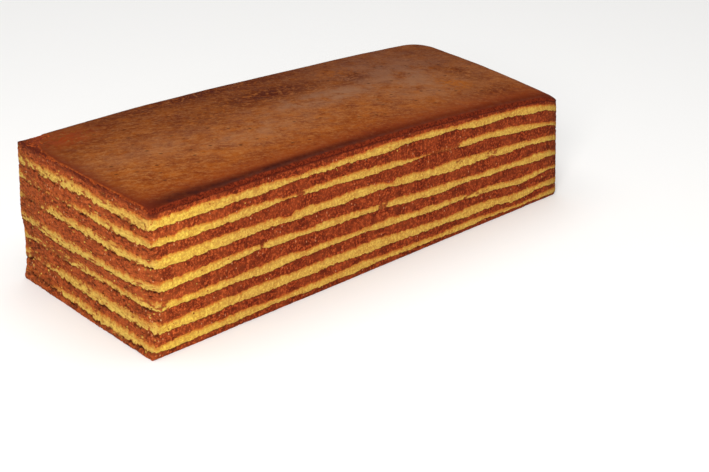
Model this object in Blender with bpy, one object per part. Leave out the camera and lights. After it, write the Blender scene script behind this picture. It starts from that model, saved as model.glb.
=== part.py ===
"""Layered loaf cake: a bar cut from a square tin cake of thin baked layers.

Fifteen layers lie on each other, red-brown and yellow in turn, and each is a
closed slab of its own. The bar stands on its flat bottom. X runs along it, from
the cut end to the end that stood against the tin, Y runs from the long front
face to the back, and Z is up. The origin is the middle of the bottom.
"""

import bpy
import numpy as np

MM = 0.001

# Driving dimensions, in millimetres
TOP_LENGTH = 208.2
TOP_WIDTH = 85.2
HEIGHT = 55.0

# How far each upright face leans out by the time it reaches the bottom. The
# knife was held a little askew, so the back leans in
CUT_END_FLARE = 4.2
TIN_END_FLARE = 3.0
FRONT_FLARE = 1.5
BACK_FLARE = -0.8

# The cut end isn't flat. Its upper half bows out, its lower half lies back, and
# its upright edge at the front is worn back, most of all half way up
UPPER_BOW = 1.9
LOWER_HOLLOW = 1.2
HOLLOW_RISE = 6.0
BOW_CHANGE = (17.0, 29.0)
BOW_FADE = 45.0
EDGE_WEAR = 4.0
WEAR_HEIGHT = 23.0
WEAR_SPREAD = 15.0
WEAR_REACH = 6.0

# The top sinks towards the tin end, more at the front corner than at the back,
# is a little higher along its middle and swells near the cut end's back corner
FRONT_DROOP = 8.8
BACK_DROOP = 4.2
DROOP_POWER = 3
CROWN = 1.2
SWELL = 1.0
SWELL_ALONG = 55.0
SWELL_REACH = 55.0

# The middle layers lie lower than in proportion beyond this stretch of the bar
MIDDLE_SAG = 1.8
SAG_START = 90.0
SAG_END = 140.0
SAG_FULL_LEVEL = 10.0
LAST_SAGGING_SURFACE = 12

# The lowest layers dip here, before they rise to the tin end
END_DIP = 1.6
END_DIP_ALONG = 183.0
END_DIP_REACH = 13.0
END_DIP_FULL_LEVEL = 9.0
LAST_DIPPING_SURFACE = 6

# The top rounds over within this reach of the tin end, less towards the back
END_ROLL_REACH = 12.0
FRONT_END_ROLL = 4.5

# Upright corners at the tin end
BACK_CORNER_RADIUS = 12.0
FRONT_CORNER_RADIUS = 4.5

# The crust's rolled rim: how far in it starts and how far it drops
FRONT_RIM = (4.5, 1.8)
TIN_RIM = (3.5, 1.6)

# Space left between neighbouring layers, and the thinnest that a layer gets
LAYER_GAP = 0.3
THINNEST_LAYER = 0.9

# Each layer from the bottom up: node, crumb and thickness at the cut end
LAYERS = (
    ("red_layer_1", "red", 2.5),
    ("yellow_layer_1", "yellow", 2.7),
    ("red_layer_2", "red", 3.7),
    ("yellow_layer_2", "yellow", 3.8),
    ("red_layer_3", "red", 4.5),
    ("yellow_layer_3", "yellow", 2.5),
    ("red_layer_4", "red", 5.0),
    ("yellow_layer_4", "yellow", 2.8),
    ("red_layer_5", "red", 5.3),
    ("yellow_layer_5", "yellow", 3.7),
    ("red_layer_6", "red", 4.0),
    ("yellow_layer_6", "yellow", 3.3),
    ("red_layer_7", "red", 3.1),
    ("yellow_layer_7", "yellow", 3.8),
    ("top_layer", "crust", 4.3),
)

# Where the batter was spread thin or thick. Each entry is the node, the place
# along the bar and across it, the reach along and across, the share of the
# thickness that is missing (less than none where it is thicker), and how much
# of that comes off the layer's upper side. What a layer loses, its neighbour
# on that side gains
THIN_SPOTS = (
    ("yellow_layer_7", 62.0, 0.0, 21.0, 30.0, 0.50, 0.6),
    ("yellow_layer_7", 124.0, 0.0, 26.0, 30.0, 0.42, 0.1),
    ("yellow_layer_7", 176.0, 0.0, 12.0, 26.0, 0.28, 0.0),
    ("yellow_layer_7", 0.0, 74.0, 26.0, 14.0, 0.26, 1.0),
    ("red_layer_7", 172.0, 0.0, 34.0, 26.0, 0.35, 0.0),
    ("yellow_layer_6", 30.0, 0.0, 12.0, 26.0, 0.18, 1.0),
    ("yellow_layer_6", 60.0, 0.0, 15.0, 24.0, 0.50, 0.5),
    ("yellow_layer_6", 101.0, 0.0, 12.0, 26.0, 0.26, 1.0),
    ("yellow_layer_6", 130.0, 0.0, 16.0, 26.0, 0.85, 0.5),
    ("yellow_layer_6", 160.0, 0.0, 20.0, 26.0, 0.58, 0.0),
    ("yellow_layer_6", 202.0, 0.0, 9.0, 26.0, 0.50, 0.5),
    ("yellow_layer_6", 0.0, 58.0, 26.0, 17.0, 0.95, 0.7),
    ("yellow_layer_5", 82.0, 0.0, 24.0, 26.0, 0.15, 1.0),
    ("yellow_layer_5", 200.0, 0.0, 13.0, 30.0, 0.50, 0.5),
    ("yellow_layer_5", 0.0, 73.0, 22.0, 9.0, 0.85, 0.5),
    ("yellow_layer_5", 0.0, 33.0, 26.0, 22.0, 0.32, 0.0),
    ("red_layer_5", 47.0, 0.0, 20.0, 26.0, 0.23, 0.0),
    ("red_layer_4", 49.0, 0.0, 20.0, 26.0, -0.25, 1.0),
    ("yellow_layer_4", 66.0, 0.0, 7.0, 20.0, 0.40, 0.6),
    ("yellow_layer_4", 0.0, 57.0, 24.0, 18.0, -0.95, 0.2),
    ("yellow_layer_3", 0.0, 50.0, 26.0, 18.0, -0.30, 0.0),
    ("yellow_layer_3", 40.0, 0.0, 18.0, 26.0, -0.25, 0.5),
    ("yellow_layer_2", 40.0, 0.0, 14.0, 26.0, 0.20, 0.1),
    ("yellow_layer_2", 0.0, 68.0, 24.0, 14.0, 0.62, 0.6),
    ("yellow_layer_2", 0.0, 38.0, 24.0, 10.0, -0.20, 0.2),
    ("yellow_layer_1", 0.0, 68.0, 24.0, 15.0, 0.85, 0.5),
    ("yellow_layer_3", 120.0, 85.0, 24.0, 26.0, 0.60, 0.5),
    ("yellow_layer_6", 70.0, 85.0, 22.0, 26.0, 0.70, 0.5),
    ("yellow_layer_1", 160.0, 85.0, 26.0, 26.0, 0.55, 0.5),
)

# Slow waves of every surface between two layers: height, length along the bar
# and length across it
WAVES = ((0.24, 61.0, 97.0), (0.15, 27.0, -41.0))
WAVE_STEP = 2.4

# Grid of a slab: cells along and across, and how much they crowd to the faces
CELLS_ALONG = 18
CELLS_ACROSS = 8
CROWDING_ALONG = 1.6
CROWDING_ACROSS = 2.0

# Crumb colours as seen (sRGB, 0 to 255) and how rough each is
FINISHES = {
    "red": ((146, 62, 29), 0.88),
    "yellow": ((224, 168, 76), 0.84),
    "crust": ((147, 86, 48), 0.46),
}


def stations(cells, length, crowding):
    """Return cells + 1 places from 0 to length, closer together at both ends."""
    spread = np.linspace(-1.0, 1.0, cells + 1)
    eased = np.sign(spread) * (1.0 - (1.0 - np.abs(spread)) ** crowding)
    return 0.5 * length * (1.0 + eased)


def round_corner(along, across, corner_across, radius):
    """Pull the square corner at the tin end in to a round one.

    A point beyond the centre of the arc is scaled towards it by the larger of
    its two distances over its straight distance, which turns squares about the
    centre into circles.
    """
    inward = 1.0 if corner_across == 0.0 else -1.0
    centre_along = TOP_LENGTH - radius
    centre_across = corner_across + inward * radius
    step_along = np.maximum(along - centre_along, 0.0)
    step_across = np.maximum((centre_across - across) * inward, 0.0)
    straight = np.hypot(step_along, step_across)
    both = (step_along > 0.0) & (step_across > 0.0)
    scale = np.where(both, np.maximum(step_along, step_across) / np.maximum(straight, 1e-9), 1.0)
    along = np.where(both, centre_along + step_along * scale, along)
    across = np.where(both, centre_across - inward * step_across * scale, across)
    return along, across


def smooth_step(share):
    """Return a smooth rise from 0 to 1 as the share goes from 0 to 1."""
    share = np.clip(share, 0.0, 1.0)
    return share * share * (3.0 - 2.0 * share)


def quarter_round(inside, reach, drop):
    """Return the drop of a quarter ellipse at a distance inside an edge."""
    near_edge = np.clip(1.0 - inside / reach, 0.0, 1.0)
    return drop * (1.0 - np.sqrt(1.0 - near_edge ** 2))


def loaf_height(along, across):
    """Return the height of the top over each point, before its rim rolls over."""
    share_back = across / TOP_WIDTH
    droop = FRONT_DROOP + (BACK_DROOP - FRONT_DROOP) * share_back
    sunk = droop * (along / TOP_LENGTH) ** DROOP_POWER
    crown = CROWN * np.sin(np.pi * share_back)
    swell = SWELL * share_back * np.exp(-((along - SWELL_ALONG) / SWELL_REACH) ** 2)
    end_roll = FRONT_END_ROLL * (1.0 - share_back)
    return HEIGHT - sunk + crown + swell - quarter_round(TOP_LENGTH - along, END_ROLL_REACH, end_roll)


def rim_drop(along, across):
    """Return how far the crust's rolled rim lies below the top.

    It rolls over at the front, the back and the tin end, round the corner
    between them, and not at the cut end.
    """
    corner = BACK_CORNER_RADIUS
    step_along = along - (TOP_LENGTH - corner)
    step_across = across - (TOP_WIDTH - corner)
    in_corner = (step_along > 0.0) & (step_across > 0.0)
    straight = np.minimum(TOP_WIDTH - across, TOP_LENGTH - along)
    inside = np.where(in_corner, corner - np.hypot(step_along, step_across), straight)
    return np.maximum(quarter_round(across, *FRONT_RIM), quarter_round(inside, *TIN_RIM))


def layer_surfaces(along, across):
    """Return the heights of the surfaces under, between and over the layers.

    The thicknesses are added up from the bottom and shrink with the local
    height of the loaf. The sag of the middle layers, the dip of the lowest
    ones, slow waves and the thin spots then move the surfaces between layers,
    and each layer keeps its least thickness.
    """
    fill = loaf_height(along, across) / HEIGHT
    names = [name for name, _, _ in LAYERS]
    thickness = [layer[2] for layer in LAYERS]
    nominal = np.concatenate(([0.0], np.cumsum(thickness)))
    surfaces = [fill * level for level in nominal]
    sag = MIDDLE_SAG * smooth_step((along - SAG_START) / (SAG_END - SAG_START))
    for index in range(1, LAST_SAGGING_SURFACE + 1):
        surfaces[index] = surfaces[index] - sag * min(1.0, nominal[index] / SAG_FULL_LEVEL)
    dip = END_DIP * np.exp(-((along - END_DIP_ALONG) / END_DIP_REACH) ** 2)
    for index in range(1, LAST_DIPPING_SURFACE + 1):
        surfaces[index] = surfaces[index] - dip * min(1.0, nominal[index] / END_DIP_FULL_LEVEL)
    for index in range(1, len(LAYERS)):
        for height, long_wave, cross_wave in WAVES:
            turn = 2.0 * np.pi * (along / long_wave + across / cross_wave)
            surfaces[index] = surfaces[index] + height * np.sin(turn + WAVE_STEP * index)
    for name, spot_along, spot_across, reach_along, reach_across, share, from_top in THIN_SPOTS:
        index = names.index(name)
        distance = ((along - spot_along) / reach_along) ** 2 + ((across - spot_across) / reach_across) ** 2
        missing = share * thickness[index] * fill * np.exp(-distance)
        surfaces[index] = surfaces[index] + (1.0 - from_top) * missing
        surfaces[index + 1] = surfaces[index + 1] - from_top * missing
    for index in range(1, len(surfaces)):
        surfaces[index] = np.maximum(surfaces[index], surfaces[index - 1] + THINNEST_LAYER)
    return surfaces


def cut_end_shift(along, across, height):
    """Return how far back the uneven cut end lies, less than none where it bows out.

    The bow is a parabola across the bar above a change of height, the hollow is
    even below it, and both fade out along the bar. The wear falls off with the
    straight distance from the upright edge.
    """
    share_across = across / TOP_WIDTH
    upper = smooth_step((height - BOW_CHANGE[0]) / (BOW_CHANGE[1] - BOW_CHANGE[0]))
    bow = UPPER_BOW * upper * 4.0 * share_across * (1.0 - share_across)
    hollow = LOWER_HOLLOW * (1.0 - upper) * smooth_step(height / HOLLOW_RISE)
    from_edge = np.hypot(along, across) / WEAR_REACH
    worn = EDGE_WEAR * np.exp(-((height - WEAR_HEIGHT) / WEAR_SPREAD) ** 2 - from_edge)
    return (hollow - bow) * (1.0 - smooth_step(along / BOW_FADE)) + worn


def place(along, across, height):
    """Turn bar coordinates in millimetres into points in metres, faces flared."""
    depth = 1.0 - height / HEIGHT
    share_along = along / TOP_LENGTH
    share_across = across / TOP_WIDTH
    lean_along = TIN_END_FLARE * share_along - CUT_END_FLARE * (1.0 - share_along)
    lean_across = BACK_FLARE * share_across - FRONT_FLARE * (1.0 - share_across)
    x = along - 0.5 * (TOP_LENGTH + TIN_END_FLARE - CUT_END_FLARE) + lean_along * depth
    x = x + cut_end_shift(along, across, height)
    y = across - 0.5 * (TOP_WIDTH + max(BACK_FLARE, 0.0) - FRONT_FLARE) + lean_across * depth
    return np.stack((x, y, height), axis=-1).reshape(-1, 3) * MM


def slab_faces(rows, columns):
    """Return the triangles of a closed slab made of two grids and a wall.

    The lower grid comes first, then the upper one. Both are cut along the same
    diagonal, so that neighbouring slabs never cross.
    """
    index = np.arange(rows * columns).reshape(rows, columns)
    near_left, near_right = index[:-1, :-1].ravel(), index[:-1, 1:].ravel()
    far_left, far_right = index[1:, :-1].ravel(), index[1:, 1:].ravel()
    upper = np.concatenate((np.stack((near_left, near_right, far_right), 1),
                            np.stack((near_left, far_right, far_left), 1)))
    rim = np.concatenate((index[0, :-1], index[:-1, -1], index[-1, :0:-1], index[:0:-1, 0]))
    following = np.roll(rim, -1)
    lift = rows * columns
    wall = np.concatenate((np.stack((rim, following, following + lift), 1),
                           np.stack((rim, following + lift, rim + lift), 1)))
    return np.concatenate((upper[:, ::-1], upper + lift, wall)).tolist()


def crumb_material(name, finish):
    """Return a Principled material in the colour and roughness of a finish."""
    shade, roughness = FINISHES[finish]
    linear = [(value / 255.0) ** 2.2 for value in shade]
    material = bpy.data.materials.new(name)
    material.use_nodes = True
    shader = material.node_tree.nodes["Principled BSDF"]
    shader.inputs["Base Color"].default_value = (*linear, 1.0)
    shader.inputs["Roughness"].default_value = roughness
    shader.inputs["Metallic"].default_value = 0.0
    material.diffuse_color = (*linear, 1.0)
    return material


def add_layer(order, name, finish):
    """Make one layer as a closed slab and give it its own material."""
    along, across = np.meshgrid(stations(CELLS_ALONG, TOP_LENGTH, CROWDING_ALONG),
                                stations(CELLS_ACROSS, TOP_WIDTH, CROWDING_ACROSS))
    along, across = round_corner(along, across, TOP_WIDTH, BACK_CORNER_RADIUS)
    along, across = round_corner(along, across, 0.0, FRONT_CORNER_RADIUS)
    surfaces = layer_surfaces(along, across)
    below = 0.0 if order == 0 else 0.5 * LAYER_GAP
    lower = surfaces[order] + below
    if order == len(LAYERS) - 1:
        upper = surfaces[order + 1] - rim_drop(along, across)
        upper = np.maximum(upper, lower + 0.5 * THINNEST_LAYER)
    else:
        upper = surfaces[order + 1] - 0.5 * LAYER_GAP
    points = np.concatenate((place(along, across, lower), place(along, across, upper)))
    mesh = bpy.data.meshes.new(name)
    mesh.from_pydata(points.tolist(), [], slab_faces(*along.shape))
    mesh.update()
    mesh.materials.append(crumb_material(name + "_" + finish, finish))
    layer = bpy.data.objects.new(name, mesh)
    bpy.context.scene.collection.objects.link(layer)
    return layer


def main():
    """Clear the scene and stack the layers under one empty."""
    for existing in list(bpy.data.objects):
        bpy.data.objects.remove(existing, do_unlink=True)
    loaf = bpy.data.objects.new("layered_loaf", None)
    bpy.context.scene.collection.objects.link(loaf)
    for order, (name, finish, _) in enumerate(LAYERS):
        add_layer(order, name, finish).parent = loaf


main()
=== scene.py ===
"""Looks of a layered loaf cake: cut crumb, browned crust and loose crumbs.

Formulas work in millimetres in the bar's own coordinates: along it from the cut
end, across it from the front face, and up. LoafForm.place turns them into the
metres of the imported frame. Every layer of the frame is replaced by a closed
piece of the same form with a fine crumb surface.
"""
import itertools
import logging
import math
from dataclasses import dataclass, field
from enum import Enum, IntEnum

import bpy
import numpy as np
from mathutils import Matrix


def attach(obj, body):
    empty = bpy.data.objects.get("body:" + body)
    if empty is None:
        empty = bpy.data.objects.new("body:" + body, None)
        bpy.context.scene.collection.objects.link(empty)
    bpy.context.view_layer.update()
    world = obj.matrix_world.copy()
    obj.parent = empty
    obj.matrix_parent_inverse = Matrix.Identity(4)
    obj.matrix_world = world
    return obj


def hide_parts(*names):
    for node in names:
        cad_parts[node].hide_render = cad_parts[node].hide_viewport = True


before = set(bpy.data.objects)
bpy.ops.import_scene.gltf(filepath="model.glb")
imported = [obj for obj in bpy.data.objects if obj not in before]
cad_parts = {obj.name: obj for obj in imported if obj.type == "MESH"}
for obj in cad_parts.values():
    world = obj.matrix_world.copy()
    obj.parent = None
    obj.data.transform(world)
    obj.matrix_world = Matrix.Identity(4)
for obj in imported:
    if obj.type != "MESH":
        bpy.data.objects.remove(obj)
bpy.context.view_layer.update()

LID_RING = 96
LID_SCALE = 0.92
NO_BORDER = 9.0
MM = 0.001
BODY = "root"
LATTICE_FACTORS = (0x8DA6B343, 0xD8163841, 0xCB1AB31F)
SEED_FACTOR = 0x9E3779B1
MIXING_STEPS = ((16, 0x7FEB352D), (15, 0x846CA68B))
LAST_SHIFT = 16
WHOLE_WORD = 0xFFFFFFFF
OCTAVE_SEED_STEP = 31
MARK_SEED_STEP = 5
SHORTEST = 1e-9
log = logging.getLogger("layered_loaf")

Colour = tuple[float, float, float]
Size = float | tuple[float, float, float]


class Seed(IntEnum):
    """The seeds of the noises, each its own, so that no two patterns line up."""

    CLUMP = 11
    GRAIN = 23
    PIT = 47
    FINE = 61
    BROAD = 71
    DRAG = 83
    SLOW_BORDER = 101
    COARSE_BORDER = 103
    FINE_BORDER = 107
    GROOVE = 131
    SMEAR = 163
    TORN = 201
    BLISTER = 211
    WRINKLE = 223
    PORE = 227
    TORN_GRAIN = 229
    COARSE_SKIRT = 233
    SLOW_SKIRT = 239
    RIM = 241


class Crumb(Enum):
    """The two batters that the layers are baked from."""

    RED = "red"
    YELLOW = "yellow"


@dataclass(frozen=True)
class LayerPlan:
    """One layer: the node that it replaces, its crumb and its thickness at the cut end."""

    node: str
    crumb: Crumb
    thickness: float


class Reaching:
    """Something on the bar that has a middle, and a reach along and across."""

    along: float
    across: float
    reach_along: float
    reach_across: float

    def distance(self, along: np.ndarray, across: np.ndarray) -> np.ndarray:
        """Return the squared distance from the middle, counted in reaches."""
        return (((along - self.along) / self.reach_along) ** 2
                + ((across - self.across) / self.reach_across) ** 2)


@dataclass(frozen=True)
class ThinSpot(Reaching):
    """A place where a layer was spread thin, or thick where the share is negative."""

    node: str
    along: float
    across: float
    reach_along: float
    reach_across: float
    missing: float
    from_top: float


LAYERS = (
    LayerPlan("red_layer_1", Crumb.RED, 2.5),
    LayerPlan("yellow_layer_1", Crumb.YELLOW, 2.7),
    LayerPlan("red_layer_2", Crumb.RED, 3.7),
    LayerPlan("yellow_layer_2", Crumb.YELLOW, 3.8),
    LayerPlan("red_layer_3", Crumb.RED, 4.5),
    LayerPlan("yellow_layer_3", Crumb.YELLOW, 2.5),
    LayerPlan("red_layer_4", Crumb.RED, 5.0),
    LayerPlan("yellow_layer_4", Crumb.YELLOW, 2.8),
    LayerPlan("red_layer_5", Crumb.RED, 5.3),
    LayerPlan("yellow_layer_5", Crumb.YELLOW, 3.7),
    LayerPlan("red_layer_6", Crumb.RED, 4.0),
    LayerPlan("yellow_layer_6", Crumb.YELLOW, 3.3),
    LayerPlan("red_layer_7", Crumb.RED, 3.1),
    LayerPlan("yellow_layer_7", Crumb.YELLOW, 3.8),
    LayerPlan("top_layer", Crumb.RED, 4.3),
)

THIN_SPOTS = (
    ThinSpot("yellow_layer_7", 62.0, 0.0, 21.0, 30.0, 0.50, 0.6),
    ThinSpot("yellow_layer_7", 124.0, 0.0, 26.0, 30.0, 0.42, 0.1),
    ThinSpot("yellow_layer_7", 176.0, 0.0, 12.0, 26.0, 0.28, 0.0),
    ThinSpot("yellow_layer_7", 0.0, 74.0, 26.0, 14.0, 0.26, 1.0),
    ThinSpot("red_layer_7", 172.0, 0.0, 34.0, 26.0, 0.35, 0.0),
    ThinSpot("yellow_layer_6", 30.0, 0.0, 12.0, 26.0, 0.18, 1.0),
    ThinSpot("yellow_layer_6", 60.0, 0.0, 15.0, 24.0, 0.50, 0.5),
    ThinSpot("yellow_layer_6", 101.0, 0.0, 12.0, 26.0, 0.26, 1.0),
    ThinSpot("yellow_layer_6", 130.0, 0.0, 16.0, 26.0, 0.85, 0.5),
    ThinSpot("yellow_layer_6", 160.0, 0.0, 20.0, 26.0, 0.58, 0.0),
    ThinSpot("yellow_layer_6", 202.0, 0.0, 9.0, 26.0, 0.50, 0.5),
    ThinSpot("yellow_layer_6", 0.0, 58.0, 26.0, 17.0, 0.95, 0.7),
    ThinSpot("yellow_layer_5", 82.0, 0.0, 24.0, 26.0, 0.15, 1.0),
    ThinSpot("yellow_layer_5", 200.0, 0.0, 13.0, 30.0, 0.50, 0.5),
    ThinSpot("yellow_layer_5", 0.0, 73.0, 22.0, 9.0, 0.85, 0.5),
    ThinSpot("yellow_layer_5", 0.0, 33.0, 26.0, 22.0, 0.32, 0.0),
    ThinSpot("red_layer_5", 47.0, 0.0, 20.0, 26.0, 0.23, 0.0),
    ThinSpot("red_layer_4", 49.0, 0.0, 20.0, 26.0, -0.25, 1.0),
    ThinSpot("yellow_layer_4", 66.0, 0.0, 7.0, 20.0, 0.40, 0.6),
    ThinSpot("yellow_layer_4", 0.0, 57.0, 24.0, 18.0, -0.95, 0.2),
    ThinSpot("yellow_layer_3", 0.0, 50.0, 26.0, 18.0, -0.30, 0.0),
    ThinSpot("yellow_layer_3", 40.0, 0.0, 18.0, 26.0, -0.25, 0.5),
    ThinSpot("yellow_layer_2", 40.0, 0.0, 14.0, 26.0, 0.20, 0.1),
    ThinSpot("yellow_layer_2", 0.0, 68.0, 24.0, 14.0, 0.62, 0.6),
    ThinSpot("yellow_layer_2", 0.0, 38.0, 24.0, 10.0, -0.20, 0.2),
    ThinSpot("yellow_layer_1", 0.0, 68.0, 24.0, 15.0, 0.85, 0.5),
    ThinSpot("yellow_layer_3", 120.0, 85.0, 24.0, 26.0, 0.60, 0.5),
    ThinSpot("yellow_layer_6", 70.0, 85.0, 22.0, 26.0, 0.70, 0.5),
    ThinSpot("yellow_layer_1", 160.0, 85.0, 26.0, 26.0, 0.55, 0.5),
)


def smooth_step(share: np.ndarray) -> np.ndarray:
    """Return a smooth rise from 0 to 1: s * s * (3 - 2 s), with s kept within 0 and 1."""
    share = np.clip(share, 0.0, 1.0)
    return share * share * (3.0 - 2.0 * share)


def quarter_round(inside: np.ndarray, reach: float, drop: float | np.ndarray) -> np.ndarray:
    """Return the drop of a quarter ellipse at a distance inside an edge.

    Args:
        inside: Distance from the edge.
        reach: How far in the rounding starts.
        drop: How far it has dropped at the edge itself.

    Returns:
        drop * (1 - sqrt(1 - e * e)), where e falls from 1 at the edge to 0 at the reach.
    """
    near_edge = np.clip(1.0 - inside / reach, 0.0, 1.0)
    return drop * (1.0 - np.sqrt(1.0 - near_edge ** 2))


@dataclass(frozen=True)
class LoafForm:
    """The bar's form, from the same sizes and formulas as its solids."""

    top_length: float = 208.2
    top_width: float = 85.2
    high: float = 55.0
    cut_end_flare: float = 4.2
    tin_end_flare: float = 3.0
    front_flare: float = 1.5
    back_flare: float = -0.8
    upper_bow: float = 1.9
    lower_hollow: float = 1.2
    hollow_rise: float = 6.0
    bow_change: tuple[float, float] = (17.0, 29.0)
    bow_fade: float = 45.0
    edge_wear: float = 4.0
    wear_height: float = 23.0
    wear_spread: float = 15.0
    wear_reach: float = 6.0
    front_droop: float = 8.8
    back_droop: float = 4.2
    droop_power: int = 3
    crown: float = 1.2
    swell: float = 1.0
    swell_along: float = 55.0
    swell_reach: float = 55.0
    middle_sag: float = 1.8
    sag_start: float = 90.0
    sag_end: float = 140.0
    sag_full_level: float = 10.0
    last_sagging_surface: int = 12
    end_dip: float = 1.6
    end_dip_along: float = 183.0
    end_dip_reach: float = 13.0
    end_dip_full_level: float = 9.0
    last_dipping_surface: int = 6
    end_roll_reach: float = 12.0
    front_end_roll: float = 4.5
    back_corner_radius: float = 12.0
    front_corner_radius: float = 4.5
    cut_corner_radius: float = 0.9
    front_rim: tuple[float, float] = (4.5, 1.8)
    tin_rim: tuple[float, float] = (3.5, 1.6)
    thinnest_layer: float = 0.9
    waves: tuple[tuple[float, float, float], ...] = ((0.24, 61.0, 97.0), (0.15, 27.0, -41.0))
    wave_step: float = 2.4

    def height(self, along: np.ndarray, across: np.ndarray) -> np.ndarray:
        """Return the height of the top before its rim rolls over.

        The full height, less a droop that grows with the cube of the way along,
        plus a crown and a swell, less the roll at the tin end.

        Args:
            along: Distance from the cut end.
            across: Distance from the front face.

        Returns:
            The height over the bottom.
        """
        share_back = across / self.top_width
        droop = self.front_droop + (self.back_droop - self.front_droop) * share_back
        sunk = droop * (along / self.top_length) ** self.droop_power
        crown = self.crown * np.sin(np.pi * share_back)
        swell = self.swell * share_back * np.exp(-((along - self.swell_along) / self.swell_reach) ** 2)
        roll = quarter_round(self.top_length - along, self.end_roll_reach,
                             self.front_end_roll * (1.0 - share_back))
        return self.high - sunk + crown + swell - roll

    def rim_drop(self, along: np.ndarray, across: np.ndarray) -> np.ndarray:
        """Return how far the crust's rolled rim lies below the top.

        A quarter ellipse at the front, the back and the tin end, carried round
        the corner between the last two, and none at the cut end.

        Args:
            along: Distance from the cut end.
            across: Distance from the front face.

        Returns:
            The drop in millimetres.
        """
        corner = self.back_corner_radius
        step_along = along - (self.top_length - corner)
        step_across = across - (self.top_width - corner)
        in_corner = (step_along > 0.0) & (step_across > 0.0)
        straight = np.minimum(self.top_width - across, self.top_length - along)
        inside = np.where(in_corner, corner - np.hypot(step_along, step_across), straight)
        return np.maximum(quarter_round(across, *self.front_rim), quarter_round(inside, *self.tin_rim))

    def surfaces(self, along: np.ndarray, across: np.ndarray) -> list[np.ndarray]:
        """Return the heights of the surfaces under, between and over the layers.

        The thicknesses added up from the bottom shrink with the local height.
        The sag of the middle layers, the dip of the lowest ones, slow waves and
        the thin spots move them, and each layer keeps its least thickness.

        Args:
            along: Distance from the cut end.
            across: Distance from the front face.

        Returns:
            The heights, from the bottom up, each in the shape of the arguments.
        """
        fill = self.height(along, across) / self.high
        names = [layer.node for layer in LAYERS]
        thickness = [layer.thickness for layer in LAYERS]
        nominal = np.concatenate(([0.0], np.cumsum(thickness)))
        heights = [fill * level for level in nominal]
        sag = self.middle_sag * smooth_step((along - self.sag_start) / (self.sag_end - self.sag_start))
        for index in range(1, self.last_sagging_surface + 1):
            heights[index] = heights[index] - sag * min(1.0, nominal[index] / self.sag_full_level)
        dip = self.end_dip * np.exp(-((along - self.end_dip_along) / self.end_dip_reach) ** 2)
        for index in range(1, self.last_dipping_surface + 1):
            heights[index] = heights[index] - dip * min(1.0, nominal[index] / self.end_dip_full_level)
        for index in range(1, len(LAYERS)):
            for height, long_wave, cross_wave in self.waves:
                turn = 2.0 * np.pi * (along / long_wave + across / cross_wave)
                heights[index] = heights[index] + height * np.sin(turn + self.wave_step * index)
        for spot in THIN_SPOTS:
            index = names.index(spot.node)
            missing = spot.missing * thickness[index] * fill * np.exp(-spot.distance(along, across))
            heights[index] = heights[index] + (1.0 - spot.from_top) * missing
            heights[index + 1] = heights[index + 1] - spot.from_top * missing
        for index in range(1, len(heights)):
            heights[index] = np.maximum(heights[index], heights[index - 1] + self.thinnest_layer)
        return heights

    def cut_end_shift(self, along: np.ndarray, across: np.ndarray, height: np.ndarray) -> np.ndarray:
        """Return how far back the uneven cut end lies, less than none where it bows out.

        The bow is a parabola across the bar above a change of height, the
        hollow is even below it, and both fade out along the bar. The wear falls
        off with the straight distance from the upright edge at the front.

        Args:
            along: Distance from the cut end.
            across: Distance from the front face.
            height: Height over the bottom.

        Returns:
            The shift in millimetres, towards the tin end.
        """
        share_across = across / self.top_width
        upper = smooth_step((height - self.bow_change[0]) / (self.bow_change[1] - self.bow_change[0]))
        bow = self.upper_bow * upper * 4.0 * share_across * (1.0 - share_across)
        hollow = self.lower_hollow * (1.0 - upper) * smooth_step(height / self.hollow_rise)
        from_edge = np.hypot(along, across) / self.wear_reach
        worn = self.edge_wear * np.exp(-((height - self.wear_height) / self.wear_spread) ** 2 - from_edge)
        return (hollow - bow) * (1.0 - smooth_step(along / self.bow_fade)) + worn

    def place(self, along: np.ndarray, across: np.ndarray, height: np.ndarray) -> np.ndarray:
        """Turn bar coordinates in millimetres into points in metres, with the faces flared.

        Args:
            along: Distance from the cut end.
            across: Distance from the front face.
            height: Height over the bottom.

        Returns:
            One point a row, in the order of the flattened arrays.
        """
        depth = 1.0 - height / self.high
        share_along = along / self.top_length
        share_across = across / self.top_width
        lean_along = self.tin_end_flare * share_along - self.cut_end_flare * (1.0 - share_along)
        lean_across = self.back_flare * share_across - self.front_flare * (1.0 - share_across)
        middle_along = 0.5 * (self.top_length + self.tin_end_flare - self.cut_end_flare)
        middle_across = 0.5 * (self.top_width + max(self.back_flare, 0.0) - self.front_flare)
        x = along - middle_along + lean_along * depth + self.cut_end_shift(along, across, height)
        y = across - middle_across + lean_across * depth
        return np.stack((x, y, height), axis=-1).reshape(-1, 3) * MM


FORM = LoafForm()


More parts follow.
